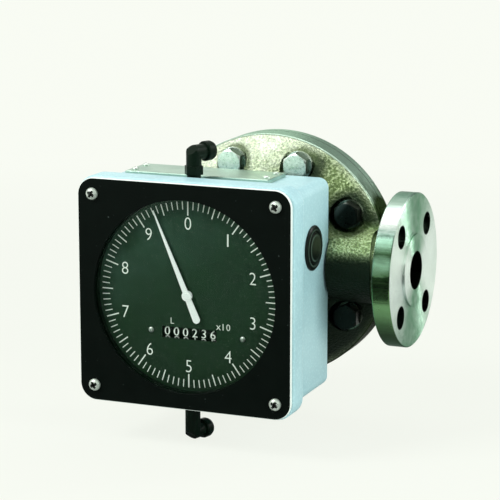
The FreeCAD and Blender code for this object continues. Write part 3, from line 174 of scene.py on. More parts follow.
def patches(tree, point, tone, looks):
    # noisy patches over a tone: each has its noise scale and detail, the span it shows in, its share and colour
    for scale, detail, low, high, share, colour in looks:
        mask = remap(tree, noise(tree, point, scale, detail), low, high, 0.0, share)
        tone = mixColour(tree, mask, tone, colour)
    return tone


def roughFrom(tree, value, low, high):
    # roughness that follows a noise
    return remap(tree, value, 0.3, 0.7, low, high)


def skinNormal(tree, point, scale, strength, depth, edge=None):
    # fine skin texture, with softened edges where an edge radius is given
    rounded = roundedNormal(tree, edge) if edge else None
    return bump(tree, noise(tree, point, scale, 2.0), strength, depth, rounded)


def mixShader(tree, factor, first, second):
    node = addNode(tree, "ShaderNodeMixShader", {0: factor})
    tree.links.new(first.outputs[0], node.inputs[1])
    tree.links.new(second.outputs[0], node.inputs[2])
    return node


paintLook = {"cloud": (22.0, 4.0, 0.35, 0.7, 1.0), "roughScale": 90.0, "smoother": -0.05, "rougher": 0.07,
             "strength": 0.35, "depth": 0.00004}


def paintMaterial(name, colour, darker, roughness, grain, shine=0.5, edge=0.0003):
    # paint or moulded plastic: cloudy tone, a fine skin texture and softened edges
    mat, tree = newMaterial(name)
    point = objectPoint(tree)
    tone = patches(tree, point, darker, ((*paintLook["cloud"], colour),))
    rough = roughFrom(tree, noise(tree, point, paintLook["roughScale"]), roughness + paintLook["smoother"],
                      roughness + paintLook["rougher"])
    normal = skinNormal(tree, point, grain, paintLook["strength"], paintLook["depth"], edge)
    surface(tree, **{"Base Color": tone, "Roughness": rough, "Specular IOR Level": shine, "Normal": normal})
    return mat


# slope of the painted shade towards the lower right
shadeSlope = {"across": 0.75, "down": 0.66, "steel": (-0.030, 0.020)}


def wornShare(tree, axes, low, high, wobble=0.0):
    # painted shade, growing towards the lower right of the meter, away from the light
    across = times(tree, minus(tree, axes["X"], pipe["bodyX"]), shadeSlope["across"])
    down = times(tree, axes["Z"], shadeSlope["down"])
    return remap(tree, plus(tree, minus(tree, across, down), wobble), low, high)


metalLook = {"layScale": 260.0, "laySpan": (0.25, 0.75), "stain": (60.0, 4.0, 0.4, 0.75, 1.0),
             "smoother": -0.08, "rougher": 0.12, "strength": 0.4, "depth": 0.00002, "edge": 0.0002}


def metalMaterial(name, colour, darker, roughness, stretch, lowerShade=None):
    # machined or plated metal: fine lay along one direction and faint stains, with painted shade towards the lower
    # right where a shade colour is given
    mat, tree = newMaterial(name)
    point = objectPoint(tree)
    lay = noise(tree, scaledPoint(tree, point, stretch), metalLook["layScale"], 3.0)
    tone = patches(tree, point, colour, ((*metalLook["stain"], darker),))
    if lowerShade:
        tone = mixColour(tree, wornShare(tree, splitAxes(tree, point), *shadeSlope["steel"]), tone, lowerShade)
    rough = remap(tree, lay, *metalLook["laySpan"], roughness + metalLook["smoother"],
                  roughness + metalLook["rougher"])
    normal = bump(tree, lay, metalLook["strength"], metalLook["depth"], roundedNormal(tree, metalLook["edge"]))
    surface(tree, **{"Base Color": tone, "Roughness": rough, "Metallic": 1.0, "Normal": normal})
    return mat


# Sand cast stainless steel, with the two flanges and the cover's rim turned bright; several of its colours are
# painted shade, shadow, highlight, glint and reflection
castLook = {"grain": 620.0, "lump": 150.0, "shadeWobbleScale": 55.0, "shadeWobbleSize": 0.05, "bright": (0.80, 0.86, 0.75),
            "dark": (0.56, 0.65, 0.48), "pitAndPocketShadow": (0.07, 0.11, 0.04), "lowerShade": (0.13, 0.20, 0.06),
            "neckTopLight": (0.47, 0.66, 0.29), "black": (0.020, 0.032, 0.020), "sparkle": (0.74, 0.88, 0.56),
            "rim": (0.50, 0.66, 0.55), "rimShade": (0.05, 0.075, 0.035), "seam": (0.03, 0.04, 0.03),
            "seamHalf": 0.0003, "hole": (0.012, 0.018, 0.013), "rough": (0.48, 0.30), "lumpHeight": 0.5,
            "depth": 0.0016, "edge": 0.0010}
# where each mask begins and ends: metres from the body's middle, or along Y or Z, or along the painted shade's
# slope
castSpan = {"turned": (0.0970, 0.0980), "cover": (0.0243, 0.0245), "front": (0.014, 0.004),
            "neck": (0.048, 0.062), "neckRise": (0.0055, 0.014), "neckCrest": (0.026, 0.032),
            "outlet": (0.112, 0.162), "bodyRim": (0.0868, 0.0874), "flangeRim": (0.0532, 0.0536),
            "lowerShade": (-0.057, -0.010), "deepShade": (0.018, 0.040), "rimShade": (0.004, 0.034)}
# how much of a colour is laid on, and how much of it is left where another mask is full
castShare = {"lowerShade": 0.92, "lowerShadeOnNeck": 0.62, "lowerShadeBehind": 0.3, "neckTopLight": 0.85, "cover": 0.45,
             "pits": (0.35, 0.80), "sparkle": (0.6, 0.28), "sparkleOnNeck": 0.9}
# painted shadows round the cover bolts: in each pocket, and wider to the bolt's lower right
boltShadow = {"circle": 0.0728, "angles": (30.0, 70.0), "shiftX": 0.0022, "shiftZ": -0.0012,
             "ring": (0.0122, 0.0025), "ringShare": 0.8, "shade": (0.0145, 0.0065), "shadeShare": 0.92,
             "upperShade": 0.12}
# the rim's painted reflection bands, with a painted glint, run from the flange's lowest point to its highest
turnedLook = {"pitch": 12500.0, "wobbleScale": 40.0, "wobble": 2.0, "bright": (0.83, 0.94, 0.88),
              "stain": (35.0, 4.0, 0.35, 0.7, 1.0, (0.70, 0.82, 0.75)), "sheenDark": (0.21, 0.37, 0.26),
              "sheenDarkTint": (0.40, 0.54, 0.45), "level": (0.10, 0.80), "floor": 0.000001, "sheenDarkShare": 0.95,
              "mottleScale": 150.0, "mottle": (0.78, 1.05), "streakStretch": (0.3, 1.0, 1.0), "streakScale": 420.0,
              "streakShift": 0.006, "rough": (0.22, 0.34), "ringHeight": 0.03, "rimShare": 0.8,
              "coverShare": 0.4, "anisotropic": 0.75, "turn": 0.25,
              "rimReflectionBands": ((-0.054, (0.05, 0.09, 0.05)), (-0.038, (0.07, 0.13, 0.06)),
                           (-0.016, (0.22, 0.44, 0.19)), (-0.007, (0.22, 0.44, 0.17)),
                           (-0.002, (0.07, 0.15, 0.06)), (0.005, (0.01, 0.03, 0.01)),
                           (0.006, (0.09, 0.19, 0.09)), (0.013, (0.27, 0.50, 0.34)),
                           (0.020, (0.03, 0.07, 0.03)), (0.031, (0.12, 0.20, 0.16)),
                           (0.0345, (0.42, 0.56, 0.50)), (0.038, (0.85, 0.92, 0.90)),
                           (0.054, (0.34, 0.50, 0.42)))}


def boltDistance(tree, axes):
    # how far a point is from the nearest bolt; the painted bolt shadows lie a little to the bolt's lower right
    foldX = gapFrom(tree, axes["X"], pipe["bodyX"] + boltShadow["shiftX"])
    foldZ = gapFrom(tree, axes["Z"], boltShadow["shiftZ"])
    nearest = 1.0
    for angle in boltShadow["angles"]:
        turn = math.radians(angle)
        gap = planeDistance(tree, foldX, foldZ, boltShadow["circle"] * math.cos(turn),
                            boltShadow["circle"] * math.sin(turn))
        nearest = lesser(tree, gap, nearest)
    return nearest


def castTone(tree, axes, grain, lump, shadeWobble, along, cover):
    # rough cast skin: pits and painted glints, with painted shade towards the lower right, a painted highlight on
    # the neck's top and painted shadow round the bolts and under the neck, on the front only
    tone = mixColour(tree, remap(tree, lump, 0.3, 0.7), castLook["dark"], castLook["bright"])
    neck = remap(tree, along, *castSpan["neck"])
    neckTopLight = times(tree, neck, remap(tree, axes["Z"], *castSpan["neckRise"]))
    neckTopLight = times(tree, neckTopLight, remap(tree, axes["Z"], *castSpan["neckCrest"], 1.0, 0.0))
    front = remap(tree, axes["Y"], *castSpan["front"])

    # painted shade towards the lower right, weaker on the lit neck top and behind the front
    lowerShade = times(tree, wornShare(tree, axes, *castSpan["lowerShade"], shadeWobble),
                 remap(tree, neckTopLight, 0.0, 1.0, 1.0, castShare["lowerShadeOnNeck"]))
    lowerShade = times(tree, lowerShade, remap(tree, front, 0.0, 1.0, castShare["lowerShadeBehind"], 1.0))
    tone = mixColour(tree, times(tree, lowerShade, castShare["lowerShade"]), tone, castLook["lowerShade"])
    # painted highlight on the top of the neck, where the light falls
    tone = mixColour(tree, times(tree, neckTopLight, castShare["neckTopLight"]), tone, castLook["neckTopLight"])
    # dark pits in the grain, more of them in the painted shade
    pits = times(tree, remap(tree, grain, 0.38, 0.54, 1.0, 0.0), remap(tree, lowerShade, 0.0, 1.0, *castShare["pits"]))
    tone = mixColour(tree, pits, tone, castLook["pitAndPocketShadow"])

    # painted shade, deepest at the lower right, kept off the lit neck top, on the front only
    deepShade = times(tree, wornShare(tree, axes, *castSpan["deepShade"], shadeWobble), minus(tree, 1.0, neckTopLight))
    deepShade = times(tree, deepShade, front)
    tone = mixColour(tree, deepShade, tone, castLook["black"])
    # painted glints on the grains, fewer in the painted shade and more on the lit neck top
    sparkle = times(tree, remap(tree, grain, 0.53, 0.60), minus(tree, 1.0, deepShade))
    spread = greater(tree, remap(tree, lowerShade, 0.0, 1.0, *castShare["sparkle"]),
                     times(tree, neckTopLight, castShare["sparkleOnNeck"]))
    tone = mixColour(tree, times(tree, sparkle, spread), tone, castLook["sparkle"])

    # painted shadow in each bolt's pocket, and a wider painted shadow round the bolt, weak at the upper bolts and
    # off the lit neck top
    nearest = boltDistance(tree, axes)
    ring = times(tree, insideMask(tree, nearest, *boltShadow["ring"]), times(tree, front, boltShadow["ringShare"]))
    tone = mixColour(tree, ring, tone, castLook["pitAndPocketShadow"])
    lowest = remap(tree, lowerShade, 0.5, 1.0, boltShadow["upperShade"], 1.0)
    shade = times(tree, insideMask(tree, nearest, *boltShadow["shade"]), times(tree, lowest, front))
    shade = times(tree, shade, remap(tree, neckTopLight, 0.0, 1.0, boltShadow["shadeShare"], 0.0))
    tone = mixColour(tree, shade, tone, castLook["black"])

    # painted shade under the neck towards the outlet, on the front only
    underside = times(tree, neck, remap(tree, axes["Z"], *castSpan["neckRise"], 1.0, 0.0))
    underside = times(tree, underside, remap(tree, axes["X"], *castSpan["outlet"]))
    tone = mixColour(tree, times(tree, underside, front), tone, castLook["black"])
    return mixColour(tree, times(tree, cover, castShare["cover"]), tone, castLook["rim"])


def turnedTone(tree, point, axes, radius, sheenDark):
    # lathe turned flange with painted reflections: its face painted darker where the turning marks run level, its
    # rim in painted reflection bands
    shine = patches(tree, point, turnedLook["bright"], (turnedLook["stain"],))
    shine = mixColour(tree, sheenDark, shine, turnedLook["sheenDark"])
    edge = remap(tree, radius, *castSpan["flangeRim"])
    streak = noise(tree, scaledPoint(tree, point, turnedLook["streakStretch"]), turnedLook["streakScale"], 3.0)
    height = plus(tree, axes["Z"], times(tree, minus(tree, streak, 0.5), turnedLook["streakShift"]))
    return mixColour(tree, edge, shine, ramp(tree, height, turnedLook["rimReflectionBands"]))


def castMaterial(name):
    mat, tree = newMaterial(name)
    point = objectPoint(tree)
    axes = splitAxes(tree, point)
    grain = noise(tree, point, castLook["grain"], 3.0, 0.6)
    lump = noise(tree, point, castLook["lump"], 3.0, 0.5)
    shadeWobble = times(tree, minus(tree, noise(tree, point, castLook["shadeWobbleScale"]), 0.5), castLook["shadeWobbleSize"])
    along = gapFrom(tree, axes["X"], pipe["bodyX"])
    turned = remap(tree, along, *castSpan["turned"])
    cover = remap(tree, axes["Y"], *castSpan["cover"])
    radius = planeDistance(tree, axes["Y"], axes["Z"], 0.0, 0.0)
    holeDistance = planeDistance(tree, gapFrom(tree, axes["Y"], 0.0), gapFrom(tree, axes["Z"], 0.0),
                                 pipe["holePlace"], pipe["holePlace"])
    hole = greater(tree, insideMask(tree, holeDistance, pipe["holeRadius"]),
                   insideMask(tree, radius, pipe["boreRadius"]))

    # the casting, then the turned rims of body and cover, the body's rim with painted shade at the lower right,
    # the seam between them, the flanges with their painted reflections, and painted shade in their holes
    tone = castTone(tree, axes, grain, lump, shadeWobble, along, cover)
    reach = planeDistance(tree, axes["X"], axes["Z"], pipe["bodyX"], 0.0)
    rim = times(tree, remap(tree, reach, *castSpan["bodyRim"]), minus(tree, 1.0, turned))
    # painted shade on the turned rims towards the lower right
    rimTone = mixColour(tree, wornShare(tree, axes, *castSpan["rimShade"], shadeWobble), castLook["rim"],
                        castLook["rimShade"])
    tone = mixColour(tree, rim, tone, rimTone)
    seam = insideMask(tree, gapFrom(tree, axes["Y"], pipe["partingY"]), castLook["seamHalf"])
    tone = mixColour(tree, seam, tone, castLook["seam"])
    # the turning marks run level above and below the bore, upright beside it; the face's painted reflection is
    # darker where they run level; the floor avoids a division by zero
    level = maths(tree, "DIVIDE", times(tree, axes["Y"], axes["Y"]),
                  greater(tree, times(tree, radius, radius), turnedLook["floor"]))
    mottle = remap(tree, noise(tree, point, turnedLook["mottleScale"], 5.0, 0.65), 0.35, 0.65,
                   *turnedLook["mottle"])
    sheenDark = times(tree, remap(tree, level, *turnedLook["level"], turnedLook["sheenDarkShare"], 0.0), mottle)
    colour = mixColour(tree, turned, tone, turnedTone(tree, point, axes, radius, sheenDark))
    # painted shade inside the flanges' bolt holes and bore
    colour = mixColour(tree, times(tree, hole, turned), colour, castLook["hole"])

    # roughness and relief: coarse on the casting, fine rings on the flanges
    wobble = times(tree, noise(tree, point, turnedLook["wobbleScale"]), turnedLook["wobble"])
    rings = maths(tree, "SINE", plus(tree, times(tree, radius, turnedLook["pitch"]), wobble))
    halfSmooth = greater(tree, times(tree, cover, turnedLook["coverShare"]), rim)
    smooth = greater(tree, turned, times(tree, halfSmooth, turnedLook["rimShare"]))
    rugged = minus(tree, 1.0, smooth)
    rough = plus(tree, times(tree, roughFrom(tree, grain, *castLook["rough"]), rugged),
                 times(tree, remap(tree, rings, -1.0, 1.0, *turnedLook["rough"]), smooth))
    height = times(tree, plus(tree, grain, times(tree, lump, castLook["lumpHeight"])), rugged)
    height = plus(tree, height, times(tree, times(tree, rings, turned), turnedLook["ringHeight"]))
    # the reflection's tint darkens with the flange's painted sheen and follows the rim tone with its painted shade
    tint = mixColour(tree, times(tree, turned, sheenDark), (1.0, 1.0, 1.0), turnedLook["sheenDarkTint"])
    tangent = addNode(tree, "ShaderNodeTangent", direction_type="RADIAL", axis="X").outputs["Tangent"]
    surface(tree, **{"Base Color": colour, "Roughness": rough, "Metallic": 1.0,
                     "Normal": bump(tree, height, 1.0, castLook["depth"], roundedNormal(tree, castLook["edge"])),
                     "Anisotropic": times(tree, turned, turnedLook["anisotropic"]),
                     "Anisotropic Rotation": turnedLook["turn"], "Tangent": tangent,
                     "Specular Tint": mixColour(tree, rim, tint, rimTone)})
    return mat


glassLook = {"dustScale": 800.0, "dustSpan": (0.60, 0.75), "dust": 0.035, "ior": 1.35, "sheen": 0.3,
             "roughness": 0.05, "clear": (0.97, 0.99, 0.98, 1.0), "shine": (0.8, 0.85, 0.83, 1.0),
             "haze": (0.6, 0.65, 0.62, 1.0)}


def glassMaterial(name):
    # clear flat window: mostly see-through, a weak sheen and a little dust
    mat, tree = newMaterial(name)
    dust = remap(tree, noise(tree, objectPoint(tree), glassLook["dustScale"], 2.0), *glassLook["dustSpan"],
                 0.0, glassLook["dust"])
    fresnel = addNode(tree, "ShaderNodeFresnel", {"IOR": glassLook["ior"]}).outputs[0]
    clear = addNode(tree, "ShaderNodeBsdfTransparent", {"Color": glassLook["clear"]})
    shine = addNode(tree, "ShaderNodeBsdfGlossy", {"Roughness": glassLook["roughness"],
                                                   "Color": glassLook["shine"]})
    haze = addNode(tree, "ShaderNodeBsdfDiffuse", {"Color": glassLook["haze"]})
    clean = mixShader(tree, times(tree, fresnel, glassLook["sheen"]), clear, shine)
    dusty = mixShader(tree, dust, clean, haze)
    out = addNode(tree, "ShaderNodeOutputMaterial")
    tree.links.new(dusty.outputs[0], out.inputs["Surface"])
    return mat


dialLook = {"low": (0.010, 0.030, 0.013), "high": (0.019, 0.052, 0.028), "lowest": -0.06, "highest": 0.065,
            "specks": (700.0, 2.0, 0.62, 0.72, 0.25, (0.06, 0.11, 0.08)),
            "clouds": (45.0, 4.0, 0.4, 0.7, 0.5, (0.016, 0.034, 0.022)), "cornerSlope": 0.6,
            "corner": (-0.055, -0.005), "patchScale": 34.0, "patchShare": (0.15, 0.9),
            "patch": (0.034, 0.074, 0.053), "roughScale": 150.0, "rough": (0.42, 0.58),
            "skin": (1500.0, 0.2, 0.00002), "shine": 0.08}


def dialMaterial(name):
    # dark green dial enamel with fine specks, and painted light making it lighter towards the top and paler at the
    # upper left
    mat, tree = newMaterial(name)
    point = objectPoint(tree)
    axes = splitAxes(tree, point)
    rise = remap(tree, axes["Z"], dial["z"] + dialLook["lowest"], dial["z"] + dialLook["highest"])
    tone = mixColour(tree, rise, dialLook["low"], dialLook["high"])
    tone = patches(tree, point, tone, (dialLook["specks"], dialLook["clouds"]))
    # painted light: a paler patch at the upper left
    corner = minus(tree, axes["Z"], times(tree, axes["X"], dialLook["cornerSlope"]))
    patch = remap(tree, noise(tree, point, dialLook["patchScale"]), 0.38, 0.62, *dialLook["patchShare"])
    patch = times(tree, remap(tree, corner, *dialLook["corner"]), patch)
    tone = mixColour(tree, patch, tone, dialLook["patch"])
    rough = roughFrom(tree, noise(tree, point, dialLook["roughScale"]), *dialLook["rough"])
    surface(tree, **{"Base Color": tone, "Roughness": rough, "Specular IOR Level": dialLook["shine"],
                     "Normal": skinNormal(tree, point, *dialLook["skin"])})
    return mat


enamelLook = {"shade": (0.36, 0.58, 0.63), "clouds": (28.0, 4.0, 0.35, 0.7, 1.0, (0.42, 0.64, 0.68)),
              "specks": (620.0, 2.0, 0.50, 0.68, 0.45, (0.58, 0.80, 0.83)), "edge": (0.86, 0.93, 0.92),
              "edgeRadius": 0.0008, "edgeSpan": (0.99, 0.90), "edgeShare": 0.85, "roughScale": 300.0,
              "rough": (0.34, 0.50), "skin": (650.0, 0.35, 0.00004, 0.0009), "shine": 0.45}


def enamelMaterial(name):
    # light blue-grey hammer enamel: faint clouds, fine specks, a shallow orange peel and pale edges, partly rubbed
    # paint and partly a painted highlight
    mat, tree = newMaterial(name)
    point = objectPoint(tree)
    tone = patches(tree, point, enamelLook["shade"], (enamelLook["clouds"], enamelLook["specks"]))
    # pale edges: rubbed paint and a painted highlight along the rounded edges
    plain = addNode(tree, "ShaderNodeNewGeometry").outputs["Normal"]
    rounded = roundedNormal(tree, enamelLook["edgeRadius"])
    along = addNode(tree, "ShaderNodeVectorMath", {0: plain, 1: rounded}, operation="DOT_PRODUCT")
    edge = remap(tree, along.outputs["Value"], *enamelLook["edgeSpan"], 0.0, enamelLook["edgeShare"])
    tone = mixColour(tree, edge, tone, enamelLook["edge"])
    rough = roughFrom(tree, noise(tree, point, enamelLook["roughScale"]), *enamelLook["rough"])
    surface(tree, **{"Base Color": tone, "Roughness": rough, "Specular IOR Level": enamelLook["shine"],
                     "Normal": skinNormal(tree, point, *enamelLook["skin"])})
    return mat


plateLook = {"face": (0.0024, 0.0050, 0.0036), "faceDark": (0.0015, 0.0028, 0.0022), "cloudScale": 60.0,
             "specks": (520.0, 1.0, 0.74, 0.80, 0.5, (0.10, 0.13, 0.12)), "bare": (0.80, 0.86, 0.82),
             "bareSpan": (0.01156, 0.01162), "roughScale": 90.0, "rough": (0.38, 0.52),
             "skin": (1100.0, 0.3, 0.00003, 0.0002), "shine": (0.05, 0.5)}


def plateMaterial(name):
    # printed black face on a plate whose cut edge is bare metal
    mat, tree = newMaterial(name)
    point = objectPoint(tree)
    axes = splitAxes(tree, point)
    offX = minus(tree, gapFrom(tree, axes["X"], dial["x"]), dial["cornerPlace"])
    offZ = minus(tree, gapFrom(tree, axes["Z"], dial["z"]), dial["cornerPlace"])
    edge = planeDistance(tree, greater(tree, offX, 0.0), greater(tree, offZ, 0.0), 0.0, 0.0)
    bare = remap(tree, edge, *plateLook["bareSpan"])
    tone = mixColour(tree, noise(tree, point, plateLook["cloudScale"]), plateLook["face"], plateLook["faceDark"])
    tone = patches(tree, point, tone, (plateLook["specks"],))
    tone = mixColour(tree, bare, tone, plateLook["bare"])
    rough = roughFrom(tree, noise(tree, point, plateLook["roughScale"]), *plateLook["rough"])
    surface(tree, **{"Base Color": tone, "Roughness": rough,
                     "Normal": skinNormal(tree, point, *plateLook["skin"]),
                     "Specular IOR Level": remap(tree, bare, 0.0, 1.0, *plateLook["shine"])})
    return mat


plugLook = {"rings": (0.0088, 0.0126), "ringHalf": 0.0003, "ringSoft": 0.0004, "fadeFrom": 0.006,
            "fadeTo": -0.004, "fadeShare": 0.15, "black": (0.006, 0.010, 0.008), "darker": (0.003, 0.005, 0.004),
            "ring": (0.070, 0.110, 0.088), "cloudScale": 60.0, "roughScale": 90.0, "rough": (0.26, 0.38),
            "skin": (800.0, 0.35, 0.00004, 0.0003), "shine": 0.12}


def plugMaterial(name, plug):
    # moulded black plug with two painted highlight rings on its face, clearer on their front half
    mat, tree = newMaterial(name)
    point = objectPoint(tree)
    axes = splitAxes(tree, point)
    corners = [Vector(corner) for corner in plug.bound_box]
    middle = sum(corners, Vector()) / len(corners)
    radius = planeDistance(tree, axes["Y"], axes["Z"], middle.y, middle.z)
    # painted highlights on two rings of the face
    rings = 0.0
    for place in plugLook["rings"]:
        ring = insideMask(tree, gapFrom(tree, radius, place), plugLook["ringHalf"], plugLook["ringSoft"])
        rings = greater(tree, ring, rings)
    fade = remap(tree, axes["Y"], middle.y + plugLook["fadeFrom"], middle.y + plugLook["fadeTo"],
                 plugLook["fadeShare"], 1.0)
    tone = mixColour(tree, noise(tree, point, plugLook["cloudScale"]), plugLook["black"], plugLook["darker"])
    tone = mixColour(tree, times(tree, rings, fade), tone, plugLook["ring"])
    rough = roughFrom(tree, noise(tree, point, plugLook["roughScale"]), *plugLook["rough"])
    surface(tree, **{"Base Color": tone, "Roughness": rough, "Specular IOR Level": plugLook["shine"],
                     "Normal": skinNormal(tree, point, *plugLook["skin"])})
    return mat


boltLook = {"lay": 700.0, "bright": (0.80, 0.90, 0.84), "dull": (0.58, 0.70, 0.62), "flank": (0.06, 0.10, 0.06),
            "flankLight": (0.16, 0.24, 0.17), "faceSpan": (-0.60, -0.95), "lowerShade": (0.008, 0.012, 0.009),
            "rough": (0.24, 0.40), "strength": 0.4, "depth": 0.00005, "edge": 0.0003, "metallic": 0.9}


def boltMaterial(name):
    # plated bolt head: bright flat face, with painted shade on the flanks and towards the lower right
    mat, tree = newMaterial(name)
    coords = addNode(tree, "ShaderNodeTexCoord").outputs
    point = coords["Object"]
    face = remap(tree, splitAxes(tree, coords["Normal"])["Y"], *boltLook["faceSpan"])
    lay = noise(tree, point, boltLook["lay"], 3.0)
    tone = mixColour(tree, remap(tree, lay, 0.35, 0.65), boltLook["dull"], boltLook["bright"])
    # painted shade on the flanks
    flank = mixColour(tree, lay, boltLook["flank"], boltLook["flankLight"])
    tone = mixColour(tree, face, flank, tone)
    # painted shade towards the lower right
    tone = mixColour(tree, wornShare(tree, splitAxes(tree, point), *shadeSlope["steel"]), tone, boltLook["lowerShade"])
    normal = bump(tree, lay, boltLook["strength"], boltLook["depth"], roundedNormal(tree, boltLook["edge"]))
    surface(tree, **{"Base Color": tone, "Roughness": roughFrom(tree, lay, *boltLook["rough"]),
                     "Metallic": boltLook["metallic"], "Normal": normal})
    return mat


screwLook = {"crossTurn": 32.0, "slotHalf": 0.00082, "slotReach": 0.0026, "soft": 0.0001, "lay": 900.0,
             "bright": (0.66, 0.72, 0.66), "dull": (0.44, 0.50, 0.44), "edge": (0.14, 0.18, 0.14),
             "edgeSpan": (0.0030, 0.0046), "edgeShare": 0.7, "recess": (0.010, 0.012, 0.010),
             "rough": (0.24, 0.38), "strength": 0.3, "depth": 0.00003, "edgeRadius": 0.0002, "metallic": 0.45}


def screwMaterial(name):
    # bright front screw with painted shade in its cross recess and round the rim of its head
    mat, tree = newMaterial(name)
    point = objectPoint(tree)
    axes = splitAxes(tree, point)
    inX = minus(tree, gapFrom(tree, axes["X"], dial["x"]), dial["screwPlace"])
    inZ = minus(tree, gapFrom(tree, axes["Z"], dial["z"]), dial["screwPlace"])
    cos = math.cos(math.radians(screwLook["crossTurn"]))
    sin = math.sin(math.radians(screwLook["crossTurn"]))
    slotA = maths(tree, "ABSOLUTE", plus(tree, times(tree, inX, cos), times(tree, inZ, sin)))
    slotB = maths(tree, "ABSOLUTE", minus(tree, times(tree, inZ, cos), times(tree, inX, sin)))
    cross = times(tree, insideMask(tree, lesser(tree, slotA, slotB), screwLook["slotHalf"], screwLook["soft"]),
                  insideMask(tree, greater(tree, slotA, slotB), screwLook["slotReach"], screwLook["soft"]))
    outward = planeDistance(tree, inX, inZ, 0.0, 0.0)
    lay = noise(tree, point, screwLook["lay"], 3.0)
    tone = mixColour(tree, remap(tree, lay, 0.3, 0.7), screwLook["bright"], screwLook["dull"])
    # painted shade round the rim of the head
    edge = remap(tree, outward, *screwLook["edgeSpan"], 0.0, screwLook["edgeShare"])
    tone = mixColour(tree, edge, tone, screwLook["edge"])
    # painted shade in the cross recess
    tone = mixColour(tree, cross, tone, screwLook["recess"])
    normal = bump(tree, lay, screwLook["strength"], screwLook["depth"],
                  roundedNormal(tree, screwLook["edgeRadius"]))
    surface(tree, **{"Base Color": tone, "Roughness": roughFrom(tree, lay, *screwLook["rough"]),
                     "Metallic": screwLook["metallic"], "Normal": normal})
    return mat


# One material for each slot of the record, and four pieces with one of their own
materials = {
    "stainless_casting": castMaterial("castStainless"),
    "zinc_steel": metalMaterial("zincSteel", (0.72, 0.80, 0.74), (0.46, 0.55, 0.48), 0.30, (1.0, 6.0, 1.0)),
    "bright_steel": metalMaterial("brightSteel", (0.66, 0.68, 0.66), (0.50, 0.52, 0.50), 0.22,
                                  (1.0, 8.0, 1.0)),
    "blue_grey_enamel": enamelMaterial("blueGreyEnamel"),
    "black_plate": plateMaterial("blackPlate"),
    "dial_enamel": dialMaterial("dialEnamel"),
    "white_enamel": paintMaterial("whiteEnamel", (0.93, 0.94, 0.93), (0.88, 0.90, 0.89), 0.38, 900.0,
                                  edge=0.0001),
    "black_plastic": paintMaterial("blackPlastic", (0.004, 0.011, 0.006), (0.002, 0.006, 0.003), 0.30,
                                   800.0, 0.07),
    "yellow_plastic": paintMaterial("yellowPlastic", (0.60, 0.50, 0.06), (0.50, 0.42, 0.05), 0.35, 600.0),
    "brass": metalMaterial("brass", (0.62, 0.46, 0.20), (0.48, 0.34, 0.15), 0.28, (1.0, 1.0, 6.0)),
    "carbon_bush": paintMaterial("carbonBush", (0.05, 0.05, 0.055), (0.03, 0.03, 0.035), 0.5, 900.0),
    "magnet": paintMaterial("magnet", (0.12, 0.12, 0.125), (0.08, 0.08, 0.085), 0.55, 500.0),
    "window_glass": glassMaterial("windowGlass"),
    "rubber_seal": paintMaterial("rubberSeal", (0.02, 0.02, 0.02), (0.012, 0.012, 0.012), 0.6, 500.0),
    "bare_plate": metalMaterial("barePlate", (0.44, 0.60, 0.51), (0.32, 0.46, 0.39), 0.34, (8.0, 1.0, 1.0)),
}
special = {
    "bezel_screws": screwMaterial("frontScrew"),
    "side_plug": plugMaterial("sidePlug", nodes["side_plug"]),
    "cover_bolts": boltMaterial("boltSteel"),
    # the washers take painted shade towards the lower right
    "spring_washers": metalMaterial("washerSteel", (0.86, 0.94, 0.88), (0.60, 0.70, 0.62), 0.24,
                                    (1.0, 6.0, 1.0), lowerShade=(0.10, 0.13, 0.09)),
}
for part in frame["record"]["subparts"]:
    if part["node"] in nodes:
        for entry in nodes[part["node"]].material_slots:
            entry.material = special.get(part["node"], materials[part["material_slot"]])
printWhite = paintMaterial("printWhite", (0.90, 0.94, 0.88), (0.82, 0.87, 0.80), 0.5, 900.0, edge=0.00005)
print("materials made")


# Mesh helpers
def finishMesh(bm, name, material, body):
    bmesh.ops.recalc_face_normals(bm, faces=bm.faces)
    mesh = bpy.data.meshes.new(name)
    bm.to_mesh(mesh)
    bm.free()
    obj = bpy.data.objects.new(name, mesh)
    bpy.context.scene.collection.objects.link(obj)
    mesh.materials.append(material)
    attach(obj, body)


def addBox(bm, centre, size, turn=0.0):
    # a flat printed bar facing the front, turned clockwise about its own centre
    result = bmesh.ops.create_cube(bm, size=1.0)
    matrix = Matrix.Translation(centre) @ Matrix.Rotation(turn, 4, "Y") @ Matrix.Diagonal((*size, 1.0))
    bmesh.ops.transform(bm, matrix=matrix, verts=result["verts"])


def glyphMesh(character, height, offset):
    # one character as a flat mesh in X and Y, centred, height tall; the offset thickens or thins it
    curve = bpy.data.curves.new("glyph", "FONT")
    curve.body = character
    curve.fill_mode = "FRONT"
    curve.offset = offset
    curve.resolution_u = 5
    holder = bpy.data.objects.new("glyph", curve)
    mesh = bpy.data.meshes.new_from_object(holder)
    xs = [v.co.x for v in mesh.vertices]
    ys = [v.co.y for v in mesh.vertices]
    scale = height / (max(ys) - min(ys))
    middle = Vector(((max(xs) + min(xs)) / 2, (max(ys) + min(ys)) / 2, 0.0))
    mesh.transform(Matrix.Scale(scale, 4) @ Matrix.Translation(-middle))
    bpy.data.objects.remove(holder)
    bpy.data.curves.remove(curve)
    return mesh


# Dial print
dialPrint = {"gap": 0.00008, "barDepth": 0.00008, "oneDepth": 0.00012, "oneWidth": 0.13}
ticks = {"count": 100, "long": 0.0095, "medium": 0.0080, "short": 0.0055, "wide": 0.0009,
         "mediumShare": 0.85, "narrow": 0.00062}
numerals = {"height": 0.0085, "offset": -0.012, "widen": 0.92}
# the multiplier beside the counter and the unit above it: character, across, up, height
smallPrint = (("x", 0.0222, -0.0205, 0.0032), ("1", 0.0256, -0.0199, 0.0044), ("0", 0.0294, -0.0199, 0.0044),
              ("L", -0.0120, -0.0187, 0.0042))


def dialPoint(across, up):
    return Vector((dial["x"] + across, dial["y"] - dialPrint["gap"], dial["z"] + up))


